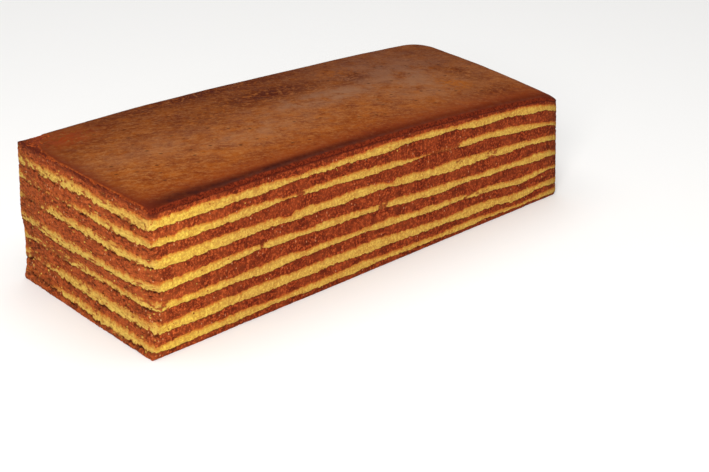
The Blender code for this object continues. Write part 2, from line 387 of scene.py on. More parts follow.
@dataclass(frozen=True)
class Outline:
    """The bar's outline in plan, as columns that the walls of all layers share."""

    spacing: float = 0.34
    least_steps: int = 4

    def trace(self) -> tuple[np.ndarray, np.ndarray, np.ndarray, np.ndarray]:
        """Walk round the outline, anticlockwise from the middle of the cut end.

        Each corner is an arc, centre plus radius times the outward direction,
        and a straight stretch joins it to the next.

        Returns:
            Along, across, and the outward direction's two parts, one value a column.
        """
        length, width = FORM.top_length, FORM.top_width
        cut, front, back = FORM.cut_corner_radius, FORM.front_corner_radius, FORM.back_corner_radius
        corners = ((cut, cut, cut), (length - front, front, front),
                   (length - back, width - back, back), (cut, width - cut, cut))
        arcs = []
        for turn, (centre_along, centre_across, radius) in enumerate(corners):
            start = math.pi + 0.5 * math.pi * turn
            steps = max(self.least_steps, math.ceil(0.5 * math.pi * radius / self.spacing))
            angle = np.linspace(start, start + 0.5 * math.pi, steps + 1)
            arcs.append(np.stack((centre_along + radius * np.cos(angle),
                                  centre_across + radius * np.sin(angle), np.cos(angle), np.sin(angle))))
        pieces = []
        for turn, arc in enumerate(arcs):
            following = arcs[(turn + 1) % len(arcs)]
            gap = np.hypot(*(following[:2, 0] - arc[:2, -1]))
            steps = math.ceil(gap / self.spacing)
            share = np.linspace(0.0, 1.0, steps + 1)[1:-1]
            straight = arc[:, -1:] + (following[:, :1] - arc[:, -1:]) * share
            straight[2:] = arc[2:, -1:]
            pieces.extend((arc, straight))
        columns = np.concatenate(pieces, axis=1)
        start = int(0.5 * width / self.spacing)
        along, across, out_along, out_across = np.roll(columns, start, axis=1)
        return along, across, out_along, out_across


def random_number(cell: np.ndarray, seed: int) -> np.ndarray:
    """Return a pseudo-random number from 0 to 1 for each whole-numbered lattice cell.

    The three whole numbers are multiplied by large odd numbers, mixed by
    exclusive or and shifted, in 32-bit arithmetic that wraps round.

    Args:
        cell: Whole numbers, three in each last row.
        seed: Number of the pattern.

    Returns:
        One number a cell.
    """
    whole = cell.astype(np.int64).astype(np.uint32)
    mixed = np.full(whole.shape[:-1], (int(seed) * SEED_FACTOR) & WHOLE_WORD, dtype=np.uint32)
    for axis, factor in enumerate(LATTICE_FACTORS):
        mixed = mixed ^ whole[..., axis] * np.uint32(factor)
    for shift, factor in MIXING_STEPS:
        mixed = (mixed ^ (mixed >> np.uint32(shift))) * np.uint32(factor)
    mixed = mixed ^ (mixed >> np.uint32(LAST_SHIFT))
    return mixed.astype(np.float64) / (WHOLE_WORD + 1.0)


def soft_noise(points: np.ndarray, size: Size, seed: int) -> np.ndarray:
    """Return smooth noise from -1 to 1 with lumps of the given size.

    Every corner of a lattice has a random value, and a point mixes the eight
    round it by smooth steps along each axis.

    Args:
        points: Bar coordinates.
        size: Size of the lumps, one or one an axis.
        seed: Number of the pattern.

    Returns:
        One value a point.
    """
    scaled = points / np.asarray(size)
    base = np.floor(scaled)
    share = smooth_step(scaled - base)
    total = np.zeros(points.shape[:-1])
    for corner in itertools.product((0, 1), repeat=3):
        weight = np.prod(np.where(np.array(corner) == 1, share, 1.0 - share), axis=-1)
        total += weight * random_number(base + np.array(corner), seed)
    return 2.0 * total - 1.0


def rough_noise(points: np.ndarray, size: Size, seed: int, octaves: int = 3) -> np.ndarray:
    """Return noise from about -1 to 1 that adds finer lumps, each octave half as large and strong.

    Args:
        points: Bar coordinates.
        size: Size of the widest lumps.
        seed: Number of the pattern.
        octaves: How many sizes are added up.

    Returns:
        One value a point.
    """
    total = np.zeros(points.shape[:-1])
    for octave in range(octaves):
        finer = 0.5 ** octave
        total += finer * soft_noise(points, np.asarray(size) * finer, seed + OCTAVE_SEED_STEP * octave)
    return total / (2.0 - 0.5 ** (octaves - 1))


def nearest_grain(points: np.ndarray, size: Size, seed: int) -> tuple[np.ndarray, np.ndarray]:
    """Return how far the nearest of many scattered grains is, and that grain's own random number.

    Each lattice cell holds one grain at a random place. The distance is in
    cell sizes, and the smallest of the 27 cells round a point is kept.

    Args:
        points: Bar coordinates.
        size: Size of a cell, one or one an axis.
        seed: Number of the pattern.

    Returns:
        The distances and the random numbers.
    """
    scaled = points / np.asarray(size)
    base = np.floor(scaled)
    nearest = np.full(points.shape[:-1], np.inf)
    mark = np.zeros(points.shape[:-1])
    for step in itertools.product((-1, 0, 1), repeat=3):
        cell = base + np.array(step)
        centre = np.stack([random_number(cell, seed + axis) for axis in range(3)], axis=-1)
        distance = np.linalg.norm(cell + centre - scaled, axis=-1)
        closer = distance < nearest
        mark = np.where(closer, random_number(cell, seed + MARK_SEED_STEP), mark)
        nearest = np.where(closer, distance, nearest)
    return nearest, mark


def spots_at(along: np.ndarray, across: np.ndarray, height: float = 0.0) -> np.ndarray:
    """Return one point for each place, all at one height, to read a noise at."""
    return np.stack((along, across, np.full_like(along, height)), axis=-1)


def drawn_in(along: np.ndarray, across: np.ndarray, scale_along: float,
             scale_across: float) -> tuple[np.ndarray, np.ndarray]:
    """Scale places towards the bar's middle.

    Args:
        along: Distance from the cut end.
        across: Distance from the front face.
        scale_along: What is left of the distance from the middle along the bar.
        scale_across: What is left of it across the bar.

    Returns:
        The places along and across.
    """
    middle_along, middle_across = 0.5 * FORM.top_length, 0.5 * FORM.top_width
    return (middle_along + (along - middle_along) * scale_along,
            middle_across + (across - middle_across) * scale_across)


@dataclass(frozen=True)
class CrumbTexture:
    """How rough one crumb is where the knife cut it. Depths and sizes are millimetres."""

    clump_depth: float
    grain_depth: float
    fine_depth: float
    pit_depth: float
    pit_share: float


RED_TEXTURE = CrumbTexture(clump_depth=0.20, grain_depth=0.26, fine_depth=0.12,
                           pit_depth=0.55, pit_share=0.26)
YELLOW_TEXTURE = CrumbTexture(clump_depth=0.12, grain_depth=0.18, fine_depth=0.09,
                              pit_depth=0.20, pit_share=0.07)


@dataclass(frozen=True)
class CutSurface:
    """The cut faces: how rough the knife left each, and how deep each point lies inside the plain form.

    The cut end's roughness is 1, and the other faces' are less.
    """

    rough_tin_end: float = 0.7
    rough_front: float = 0.35
    rough_back: float = 0.6
    rough_worn_edge: float = 0.9
    worn_spread: float = 14.0
    inset: float = 0.04
    broad_depth: float = 0.30
    broad_size: tuple[float, float, float] = (19.0, 19.0, 26.0)
    clump_size: tuple[float, float, float] = (3.0, 3.0, 1.7)
    grain_size: tuple[float, float, float] = (1.3, 1.3, 0.95)
    fine_size: float = 0.55
    pit_size: tuple[float, float, float] = (3.0, 3.0, 1.3)
    pit_reach: float = 0.42
    drag_depth: float = 0.07
    drag_size: tuple[float, float, float] = (0.8, 0.8, 9.0)
    least_relief: float = 0.42
    hollow_by_grain: float = 1.3
    hollow_by_pit: float = 1.1
    hollow_start: float = 0.12

    def roughness(self, along: np.ndarray, across: np.ndarray, out_along: np.ndarray,
                  out_across: np.ndarray) -> np.ndarray:
        """Return how rough the knife left each column of a wall.

        The squares of the outward direction's two parts add up to 1, so they
        share the faces' values out in a corner. The worn upright edge is rough
        too, and falls off with the squared distance over its spread.

        Args:
            along: Distance from the cut end.
            across: Distance from the front face.
            out_along: The outward direction's part along the bar.
            out_across: Its part across the bar.

        Returns:
            The roughness, one value a column.
        """
        cut_end, tin_end = np.minimum(out_along, 0.0) ** 2, np.maximum(out_along, 0.0) ** 2
        front, back = np.minimum(out_across, 0.0) ** 2, np.maximum(out_across, 0.0) ** 2
        worn = self.rough_worn_edge * np.exp(-(along ** 2 + across ** 2) / self.worn_spread)
        faces = cut_end + self.rough_tin_end * tin_end + self.rough_front * front + self.rough_back * back
        return np.maximum(faces, worn)

    def depth(self, points: np.ndarray, openness: np.ndarray, groove: np.ndarray,
              rough: np.ndarray) -> tuple[np.ndarray, np.ndarray]:
        """Work out the relief at points given in millimetres.

        A slow unevenness, clumps and grains that are domes over scattered
        centres, fine noise, flat pits at some scattered centres, and vertical
        drag marks are added up. The finer parts grow with the roughness.

        Args:
            points: Bar coordinates, undisturbed.
            openness: 1 in red crumb, 0 in yellow and between them at a border.
            groove: Extra depth of the pitted line under a yellow layer.
            rough: How rough the knife left the face.

        Returns:
            The depth into the loaf, and the share of painted shade, 0 on the highest grains and 1 in pits.
        """
        def blend(name: str) -> np.ndarray:
            """Return a texture value mixed between the two crumbs."""
            return getattr(YELLOW_TEXTURE, name) * (1.0 - openness) + getattr(RED_TEXTURE, name) * openness

        clump, _ = nearest_grain(points, self.clump_size, Seed.CLUMP)
        grain, _ = nearest_grain(points, self.grain_size, Seed.GRAIN)
        pit, pit_mark = nearest_grain(points, self.pit_size, Seed.PIT)
        fine = rough_noise(points, self.fine_size, Seed.FINE, 2)
        broad = 0.5 + 0.5 * rough_noise(points, self.broad_size, Seed.BROAD, 2)
        drag = soft_noise(points, self.drag_size, Seed.DRAG)
        grains = (blend("clump_depth") * clump ** 2 + blend("grain_depth") * grain ** 2
                  + blend("fine_depth") * (0.5 + 0.5 * fine))
        pits = np.where(pit_mark < blend("pit_share"), smooth_step(1.0 - pit / self.pit_reach), 0.0)
        holes = blend("pit_depth") * pits + groove
        share = self.least_relief + (1.0 - self.least_relief) * rough
        plain = self.inset + self.broad_depth * broad + self.drag_depth * (0.5 + 0.5 * drag)
        # This share only sets the painted shade that the finish lays into pits and between grains.
        hollow = self.hollow_by_grain * grains + self.hollow_by_pit * holes - self.hollow_start
        hollow = np.clip(hollow, 0.0, 1.0) * rough
        return plain + share * grains + rough * holes, hollow


def make_mesh(name: str, points: np.ndarray, quads: np.ndarray, triangles: np.ndarray) -> bpy.types.Mesh:
    """Make a mesh from whole arrays.

    Args:
        name: Name of the mesh.
        points: Points in metres, one a row.
        quads: Four point numbers a row, anticlockwise from outside.
        triangles: Three point numbers a row, likewise.

    Returns:
        The new mesh, shaded smooth.
    """
    mesh = bpy.data.meshes.new(name)
    corners = np.concatenate((quads.ravel(), triangles.ravel())).astype(np.int32)
    sides = np.concatenate((np.full(len(quads), 4), np.full(len(triangles), 3)))
    starts = np.concatenate(([0], np.cumsum(sides)[:-1])).astype(np.int32)
    mesh.vertices.add(len(points))
    mesh.vertices.foreach_set("co", points.astype(np.float32).ravel())
    mesh.loops.add(len(corners))
    mesh.loops.foreach_set("vertex_index", corners)
    mesh.polygons.add(len(sides))
    mesh.polygons.foreach_set("loop_start", starts)
    mesh.update(calc_edges=True)
    mesh.shade_smooth()
    return mesh


def set_values(mesh: bpy.types.Mesh, **values: np.ndarray) -> None:
    """Store each array as a point attribute of the same name.

    Args:
        mesh: The mesh that gets them.
        values: Arrays of one value a point.
    """
    for name, array in values.items():
        attribute = mesh.attributes.new(name, "FLOAT", "POINT")
        attribute.data.foreach_set("value", array.astype(np.float32).ravel())


def show_piece(mesh: bpy.types.Mesh, material: bpy.types.Material, slot: str, *nodes: str) -> None:
    """Link a mesh as a piece of the loaf.

    Args:
        mesh: The piece's mesh, whose name the piece takes.
        material: Its finish.
        slot: The slot that the finish belongs to; not used.
        nodes: The solids that the piece stands for, if any.
    """
    mesh.materials.append(material)
    piece = bpy.data.objects.new(mesh.name, mesh)
    bpy.context.scene.collection.objects.link(piece)
    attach(piece, BODY)
    if nodes:
        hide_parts(*nodes)
    log.info("%s: %d faces", piece.name, len(mesh.polygons))


def wall_quads(rows: int, columns: int) -> np.ndarray:
    """Return the quads of a wall of rows that each run once round, row 0 lowest.

    Args:
        rows: How many rows of points.
        columns: How many points in a row.

    Returns:
        Four point numbers a row, anticlockwise from outside.
    """
    index = np.arange(rows * columns).reshape(rows, columns)
    right = np.roll(index, -1, axis=1)
    return np.stack((index[:-1], right[:-1], right[1:], index[1:]), axis=-1).reshape(-1, 4)


def lid_faces(rim: np.ndarray, ring: np.ndarray, upward: bool) -> tuple[np.ndarray, np.ndarray]:
    """Close a ring of points with a coarser ring inside it and a strip across.

    Args:
        rim: Numbers of the rim's points, anticlockwise from above.
        ring: Numbers of the inner ring's points, fewer, over the same turn.
        upward: True if the lid faces up.

    Returns:
        Quads and triangles.
    """
    group = np.arange(len(rim)) * len(ring) // len(rim)
    following = np.roll(rim, -1)
    fans = np.stack((rim, following, ring[group]), axis=-1)
    change = np.nonzero(group != np.roll(group, -1))[0]
    bridges = np.stack((ring[group[change]], following[change], ring[np.roll(group, -1)[change]]), axis=-1)
    half = len(ring) // 2
    left = ring[1:half]
    right = ring[:half - 1:-1][:len(left)]
    strip = np.stack((right[:-1], left[:-1], left[1:], right[1:]), axis=-1)
    ends = [[right[0], ring[0], left[0]]]
    rest = ring[half:len(ring) - len(left)]
    for number in range(len(rest)):
        corner = rest[number + 1] if number + 1 < len(rest) else right[-1]
        ends.append([left[-1], rest[number], corner])
    triangles = np.concatenate((fans, bridges, np.array(ends)))
    if upward:
        return strip, triangles
    return strip[:, ::-1], triangles[:, ::-1]


def inner_ring(along: np.ndarray, across: np.ndarray) -> tuple[np.ndarray, np.ndarray]:
    """Return the coarser ring of a lid: points picked evenly from a rim, and drawn in."""
    picked = np.arange(LID_RING) * len(along) // LID_RING
    return drawn_in(along[picked], across[picked], LID_SCALE, LID_SCALE)


@dataclass(frozen=True)
class Smear(Reaching):
    """A place on a cut face where the knife carried red crumb over a yellow layer."""

    node: str
    along: float
    across: float
    reach_along: float
    reach_across: float
    cover: float


@dataclass(frozen=True)
class Notch:
    """A place on the front where red crumb fills a notch in a yellow layer's upper edge."""

    node: str
    along: float
    reach: float
    depth: float


SMEARS = (
    Smear("yellow_layer_7", 0.0, 80.0, 8.0, 22.0, 0.48),
    Smear("yellow_layer_6", 0.0, 62.0, 8.0, 26.0, 0.88),
    Smear("yellow_layer_6", 64.5, 0.0, 3.0, 9.0, 0.55),
    Smear("yellow_layer_6", 137.0, 0.0, 13.0, 9.0, 1.0),
    Smear("yellow_layer_5", 0.0, 73.0, 8.0, 14.0, 1.05),
    Smear("yellow_layer_5", 146.5, 0.0, 4.0, 9.0, 0.3),
    Smear("yellow_layer_5", 165.5, 0.0, 4.0, 9.0, 0.3),
    Smear("yellow_layer_4", 47.0, 0.0, 1.0, 9.0, 1.1),
    Smear("yellow_layer_4", 105.0, 0.0, 3.0, 9.0, 1.1),
    Smear("yellow_layer_4", 0.0, 74.0, 8.0, 24.0, 0.34),
    Smear("yellow_layer_3", 0.0, 68.0, 8.0, 32.0, 0.80),
    Smear("yellow_layer_3", 2.0, 3.0, 6.0, 6.0, 0.62),
    Smear("yellow_layer_3", 155.0, 0.0, 10.0, 9.0, 0.5),
    Smear("yellow_layer_2", 0.0, 74.0, 8.0, 18.0, 0.58),
    Smear("yellow_layer_1", 0.0, 76.0, 8.0, 24.0, 0.92),
)

NOTCHES = (
    Notch("yellow_layer_5", 58.5, 2.7, 1.25),
    Notch("yellow_layer_5", 108.5, 2.9, 1.2),
    Notch("yellow_layer_6", 10.0, 1.6, 0.7),
)


@dataclass(frozen=True)
class Raggedness:
    """How the borders between layers wander on the cut faces. All lengths are millimetres.

    A pair of moves is the least, and what a full roughness adds to it.
    """

    slow_size: float = 6.5
    slow_move: float = 0.2
    coarse_size: float = 1.9
    coarse_moves: tuple[float, float] = (0.2, 0.75)
    fine_size: float = 0.6
    fine_moves: tuple[float, float] = (0.16, 0.2)
    layer_step: float = 50.0
    notch_within: float = 3.0
    least_gap: float = 0.4

    def move(self, along: np.ndarray, across: np.ndarray, rough: np.ndarray, index: int) -> np.ndarray:
        """Return how far one border moves up: three noises, less the notches on the front.

        Args:
            along: Distance from the cut end.
            across: Distance from the front face.
            rough: How rough the knife left the face.
            index: Number of the border, counted from the bottom.

        Returns:
            The move, one value a column.
        """
        spots = spots_at(along, across, self.layer_step * index)
        coarse = self.coarse_moves[0] + self.coarse_moves[1] * rough
        fine = self.fine_moves[0] + self.fine_moves[1] * rough
        move = (self.slow_move * soft_noise(spots, self.slow_size, Seed.SLOW_BORDER)
                + coarse * rough_noise(spots, self.coarse_size, Seed.COARSE_BORDER)
                + fine * soft_noise(spots, self.fine_size, Seed.FINE_BORDER))
        for notch in NOTCHES:
            if notch.node == LAYERS[index - 1].node:
                bite = np.exp(-((along - notch.along) / notch.reach) ** 4)
                move = move - notch.depth * bite * (across < self.notch_within)
        return move


@dataclass(frozen=True)
class Groove:
    """The broken line of pits that a red layer has just under the yellow one over it."""

    depth: float = 0.6
    below_border: float = 0.7
    half_width: float = 0.4
    clear_of_border: float = 0.3
    gap_size: tuple[float, float, float] = (3.4, 3.4, 6.0)
    gap_contrast: float = 1.8
    filled: float = 0.2

    def depth_at(self, points: np.ndarray, high: np.ndarray) -> np.ndarray:
        """Return the groove's depth: a bell over the distance to the border, broken up by noise.

        Args:
            points: Bar coordinates.
            high: Distance to the border above.

        Returns:
            The depth in millimetres.
        """
        band = np.exp(-((high - self.below_border) / self.half_width) ** 2)
        band = band * smooth_step(high / self.clear_of_border)
        broken = self.gap_contrast * rough_noise(points, self.gap_size, Seed.GROOVE, 2) + self.filled
        return self.depth * band * smooth_step(broken)


@dataclass(frozen=True)
class KnifeSmears:
    """How the knife spread the crumb of one layer over the next."""

    on_yellow: float = -0.75
    on_red: float = -1.1
    less_where_smooth: float = 0.6
    more_where_rough: float = 0.68
    more_at_borders: float = 0.3
    border_reach: float = 0.4
    bare: float = -1.2
    streak_size: tuple[float, float, float] = (2.2, 2.2, 1.0)
    streak_middle: float = 0.5
    streak_spread: float = 1.35
    softness: float = 0.4
    most: float = 0.9

    def share(self, plan: LayerPlan, points: np.ndarray, from_edge: np.ndarray,
              rough: np.ndarray) -> np.ndarray:
        """Return how much of the other crumb lies on each point.

        A point is covered where noise, drawn out along the layers, falls below
        a share. The share is small all over, larger at the edges and on a rough
        face, and the named smears raise it.

        Args:
            plan: The layer.
            points: Bar coordinates.
            from_edge: Distance to the nearer border.
            rough: How rough the knife left the face.

        Returns:
            The share, from 0 to the most.
        """
        cover = self.on_yellow if plan.crumb is Crumb.YELLOW else self.on_red
        cover = cover - self.less_where_smooth * (1.0 - rough)
        at_borders = 1.0 + self.more_at_borders * np.exp(-from_edge / self.border_reach)
        cover = cover + self.more_where_rough * rough * at_borders
        for smear in SMEARS:
            if smear.node == plan.node:
                distance = smear.distance(points[..., 0], points[..., 1])
                raised = (smear.cover - self.bare) * np.exp(-distance ** 2) + self.bare
                cover = np.maximum(cover, raised)
        streaks = self.streak_middle + self.streak_spread * rough_noise(points, self.streak_size, Seed.SMEAR)
        return self.most * smooth_step((cover - streaks) / self.softness + 0.5)


@dataclass(frozen=True)
class PaintedLightAndBaking:
    """Painted light and painted shade on the crumb, and how browned it is, from place to place.

    A shaded part's three numbers are its share, where it starts and how far it rises over.
    """

    painted_shade_far_part: tuple[float, float, float] = (0.3, 62.0, 20.0)
    painted_shade_back: tuple[float, float, float] = (0.5, 78.0, 6.0)
    painted_shade_tin_end: tuple[float, float, float] = (0.9, 194.0, 13.0)
    cut_end_within: float = 20.0
    painted_light_end: float = 42.0
    painted_light_reach: float = 32.0
    cut_end_painted_light: float = 0.4
    baked_depth: float = 0.5
    baked_deeper: float = 1.1
    deeper_within: float = 4.0

    def painted_shade(self, points: np.ndarray) -> np.ndarray:
        """Return the painted shade that darkens the crumb: the far part of the cut end, the back and the tin
        end.

        Args:
            points: Bar coordinates.

        Returns:
            The largest of the three parts' shares, each a smooth rise.
        """
        along, across = points[..., 0], points[..., 1]
        at_cut_end = along < self.cut_end_within
        total = np.zeros_like(along)
        for (share, start, reach), place, where in ((self.painted_shade_far_part, across, at_cut_end),
                                                    (self.painted_shade_back, across, ~at_cut_end),
                                                    (self.painted_shade_tin_end, along, True)):
            total = np.maximum(total, share * smooth_step((place - start) / reach) * where)
        return total

    def painted_light(self, along: np.ndarray, out_along: np.ndarray, out_across: np.ndarray) -> np.ndarray:
        """Return the painted light that brightens the crumb: most on the front near the cut end, and a share
        of it over the cut end.
        """
        front = np.minimum(out_across, 0.0) ** 2 * smooth_step((self.painted_light_end - along) / self.painted_light_reach)
        return np.maximum(front, self.cut_end_painted_light * np.minimum(out_along, 0.0) ** 2)

    def baked(self, along: np.ndarray, below: np.ndarray) -> np.ndarray:
        """Return how browned the crumb is at a distance below the crust, deeper at the cut end."""
        reach = self.baked_depth + self.baked_deeper * (along < self.deeper_within)
        return np.exp(-(below / reach) ** 2)


@dataclass
class CutLayer:
    """One baked layer as a closed piece: a fine wall all round and plain lids."""

    order: int
    outline: Outline = field(default_factory=Outline)
    surface: CutSurface = field(default_factory=CutSurface)
    raggedness: Raggedness = field(default_factory=Raggedness)
    groove: Groove = field(default_factory=Groove)
    smears: KnifeSmears = field(default_factory=KnifeSmears)
    painted_light_and_baking: PaintedLightAndBaking = field(default_factory=PaintedLightAndBaking)
    row_height: float = 0.34
    least_rows: int = 3
    crumb_blend: float = 0.5
    foot_height: float = 1.2
    foot_inset: float = 0.35
    crust_share: float = 0.6

    @property
    def plan(self) -> LayerPlan:
        """Return this layer's plan."""
        return LAYERS[self.order]

    @property
    def on_top(self) -> bool:
        """Return whether this is the top layer."""
        return self.order == len(LAYERS) - 1

    def borders(self, along: np.ndarray, across: np.ndarray,
                rough: np.ndarray) -> tuple[np.ndarray, np.ndarray]:
        """Return the layer's lower and upper edge on the wall, ragged where they meet a neighbour.

        Args:
            along: Distance from the cut end.
            across: Distance from the front face.
            rough: How rough the knife left the face.

        Returns:
            The heights of the lower and of the upper edge, one value a column.
        """
        heights = FORM.surfaces(along, across)
        ragged = [heights[0]]
        for index in range(1, len(LAYERS)):
            ragged.append(heights[index] + self.raggedness.move(along, across, rough, index))
        ragged.append(heights[-1] - FORM.rim_drop(along, across) - self.crust_share)
        for index in range(1, len(ragged)):
            ragged[index] = np.maximum(ragged[index], ragged[index - 1] + self.raggedness.least_gap)
        return ragged[self.order], ragged[self.order + 1]

    def build(self) -> bpy.types.Mesh:
        """Work out the wall as a grid of rows and columns, close it, and store its finish values.

        A wall point lies a share of the way from the lower to the upper edge,
        and moves straight into the loaf by the cut surface's depth. The foot of
        the loaf is drawn in a little more.

        Returns:
            The layer's mesh.
        """
        along, across, out_along, out_across = self.outline.trace()
        rough = self.surface.roughness(along, across, out_along, out_across)
        lower, upper = self.borders(along, across, rough)
        thickness = upper - lower
        rows = max(self.least_rows, math.ceil(float(np.max(thickness)) / self.row_height)) + 1
        level = np.linspace(0.0, 1.0, rows)[:, None] * np.ones_like(along)
        height = lower + thickness * level
        points = np.stack(np.broadcast_arrays(along, across, height), axis=-1)
        rough = rough * np.ones_like(level)
        none = np.full_like(level, NO_BORDER)
        low = none if self.order == 0 else height - lower
        high = none if self.on_top else upper - height
        own = 1.0 if self.plan.crumb is Crumb.RED else 0.0
        openness = 0.5 + (own - 0.5) * smooth_step(np.minimum(low, high) / self.crumb_blend)
        grooved = self.plan.crumb is Crumb.RED and not self.on_top
        groove = self.groove.depth_at(points, high) if grooved else np.zeros_like(level)
        depth, hollow = self.surface.depth(points, openness, groove, rough)
        depth = depth + self.foot_inset * (1.0 - smooth_step(height / self.foot_height))
        wall = FORM.place(along - depth * out_along, across - depth * out_across, height)
        ring_along, ring_across = inner_ring(along, across)
        heights = FORM.surfaces(ring_along, ring_across)
        over = heights[self.order + 1] - (self.crust_share if self.on_top else 0.0)
        rings = (FORM.place(ring_along, ring_across, heights[self.order]),
                 FORM.place(ring_along, ring_across, over))
        count = level.size
        numbers = np.arange(count + 2 * LID_RING)
        bottom = lid_faces(numbers[:len(along)], numbers[count:count + LID_RING], False)
        top = lid_faces(numbers[count - len(along):count], numbers[count + LID_RING:], True)
        mesh = make_mesh(self.plan.node.replace("layer", "crumb"), np.concatenate((wall, *rings)),
                         np.concatenate((wall_quads(rows, len(along)), bottom[0], top[0])),
                         np.concatenate((bottom[1], top[1])))
        baked = self.painted_light_and_baking.baked(along, thickness - level * thickness)
        values = {"hollow": hollow, "low": low, "high": high, "rough": rough,
                  "smear": self.smears.share(self.plan, points, np.minimum(low, high), rough),
                  # Painted shade, stored for the finish to darken the crumb.
                  "painted_shade": self.painted_light_and_baking.painted_shade(points),
                  # Painted light, stored for the finish to brighten the crumb.
                  "painted_light": self.painted_light_and_baking.painted_light(along, out_along, out_across) * np.ones_like(level),
                  "baked": baked if self.on_top else np.zeros_like(level)}
        spare = np.zeros(2 * LID_RING)
        set_values(mesh, **{name: np.concatenate((array.ravel(), spare)) for name, array in values.items()})
        return mesh


def stations(cells: int, length: float, crowding: float) -> np.ndarray:
    """Return cells + 1 places from 0 to a length, closer together at both ends.

    Args:
        cells: How many gaps.
        length: The last place.
        crowding: 1 for even gaps, more to crowd them at the ends.

    Returns:
        The places in order.
    """
    spread = np.linspace(-1.0, 1.0, cells + 1)
    eased = np.sign(spread) * (1.0 - (1.0 - np.abs(spread)) ** crowding)
    return 0.5 * length * (1.0 + eased)


def round_corner(along: np.ndarray, across: np.ndarray, corner_along: float, corner_across: float,
                 radius: float) -> tuple[np.ndarray, np.ndarray]:
    """Pull a square corner in to a round one.

    A point beyond the arc's centre is scaled towards it by the larger of its
    two distances over its straight distance, which turns squares into circles.

    Args:
        along: Distance from the cut end.
        across: Distance from the front face.
        corner_along: The square corner's place along the bar.
        corner_across: Its place across the bar.
        radius: Radius of the round one.

    Returns:
        The places along and across, moved where they lay in the corner.
    """
    lengthwise = 1.0 if corner_along == 0.0 else -1.0
    inward = 1.0 if corner_across == 0.0 else -1.0
    centre_along = corner_along + lengthwise * radius
    centre_across = corner_across + inward * radius
    step_along = np.maximum((centre_along - along) * lengthwise, 0.0)
    step_across = np.maximum((centre_across - across) * inward, 0.0)
    straight = np.hypot(step_along, step_across)
    both = (step_along > 0.0) & (step_across > 0.0)
    scale = np.where(both, np.maximum(step_along, step_across) / np.maximum(straight, SHORTEST), 1.0)
    along = np.where(both, centre_along - lengthwise * step_along * scale, along)
    across = np.where(both, centre_across - inward * step_across * scale, across)
    return along, across


class Patch(Enum):
    """What a patch of the crust looks like."""

    DARK = "dark"
    RED = "red"
    # Pale patches are painted sheen, where soft light reflects off the crust, with a small painted gloss on
    # the tin end's roll.
    PAINTED_SHEEN = "pale"
    ORANGE = "orange"


@dataclass(frozen=True)
class CrustPatch(Reaching):
    """A soft-edged patch of the crust, by its middle and its reach."""

    kind: Patch
    along: float
    across: float
    reach_along: float
    reach_across: float
    strength: float


CRUST_PATCHES = (
    CrustPatch(Patch.RED, 13.0, 72.0, 10.0, 8.0, 1.0),
    CrustPatch(Patch.DARK, 80.0, 80.0, 62.0, 8.0, 1.0),
    CrustPatch(Patch.DARK, 100.0, 62.0, 28.0, 10.0, 1.0),
    CrustPatch(Patch.DARK, 141.0, 58.0, 11.0, 8.0, 0.7),
    CrustPatch(Patch.DARK, 62.0, 54.0, 16.0, 8.0, 0.5),
    CrustPatch(Patch.ORANGE, 139.0, 66.0, 12.0, 8.0, 0.6),
    CrustPatch(Patch.PAINTED_SHEEN, 30.0, 40.0, 40.0, 12.0, 0.3),
    CrustPatch(Patch.PAINTED_SHEEN, 70.0, 30.0, 34.0, 10.0, 0.5),
    CrustPatch(Patch.PAINTED_SHEEN, 116.0, 44.0, 34.0, 8.0, 1.0),
    CrustPatch(Patch.PAINTED_SHEEN, 160.0, 46.0, 34.0, 32.0, 0.75),
    CrustPatch(Patch.ORANGE, 173.0, 28.0, 8.0, 8.0, 0.9),
    CrustPatch(Patch.DARK, 182.0, 13.0, 14.0, 7.0, 0.7),
    CrustPatch(Patch.DARK, 186.0, 38.0, 6.0, 12.0, 0.6),
    CrustPatch(Patch.PAINTED_SHEEN, 166.0, 22.0, 4.0, 2.5, 1.0),
    CrustPatch(Patch.PAINTED_SHEEN, 206.0, 8.0, 1.6, 7.0, 1.0),
    CrustPatch(Patch.DARK, 108.0, 4.0, 16.0, 3.0, 0.7),
)


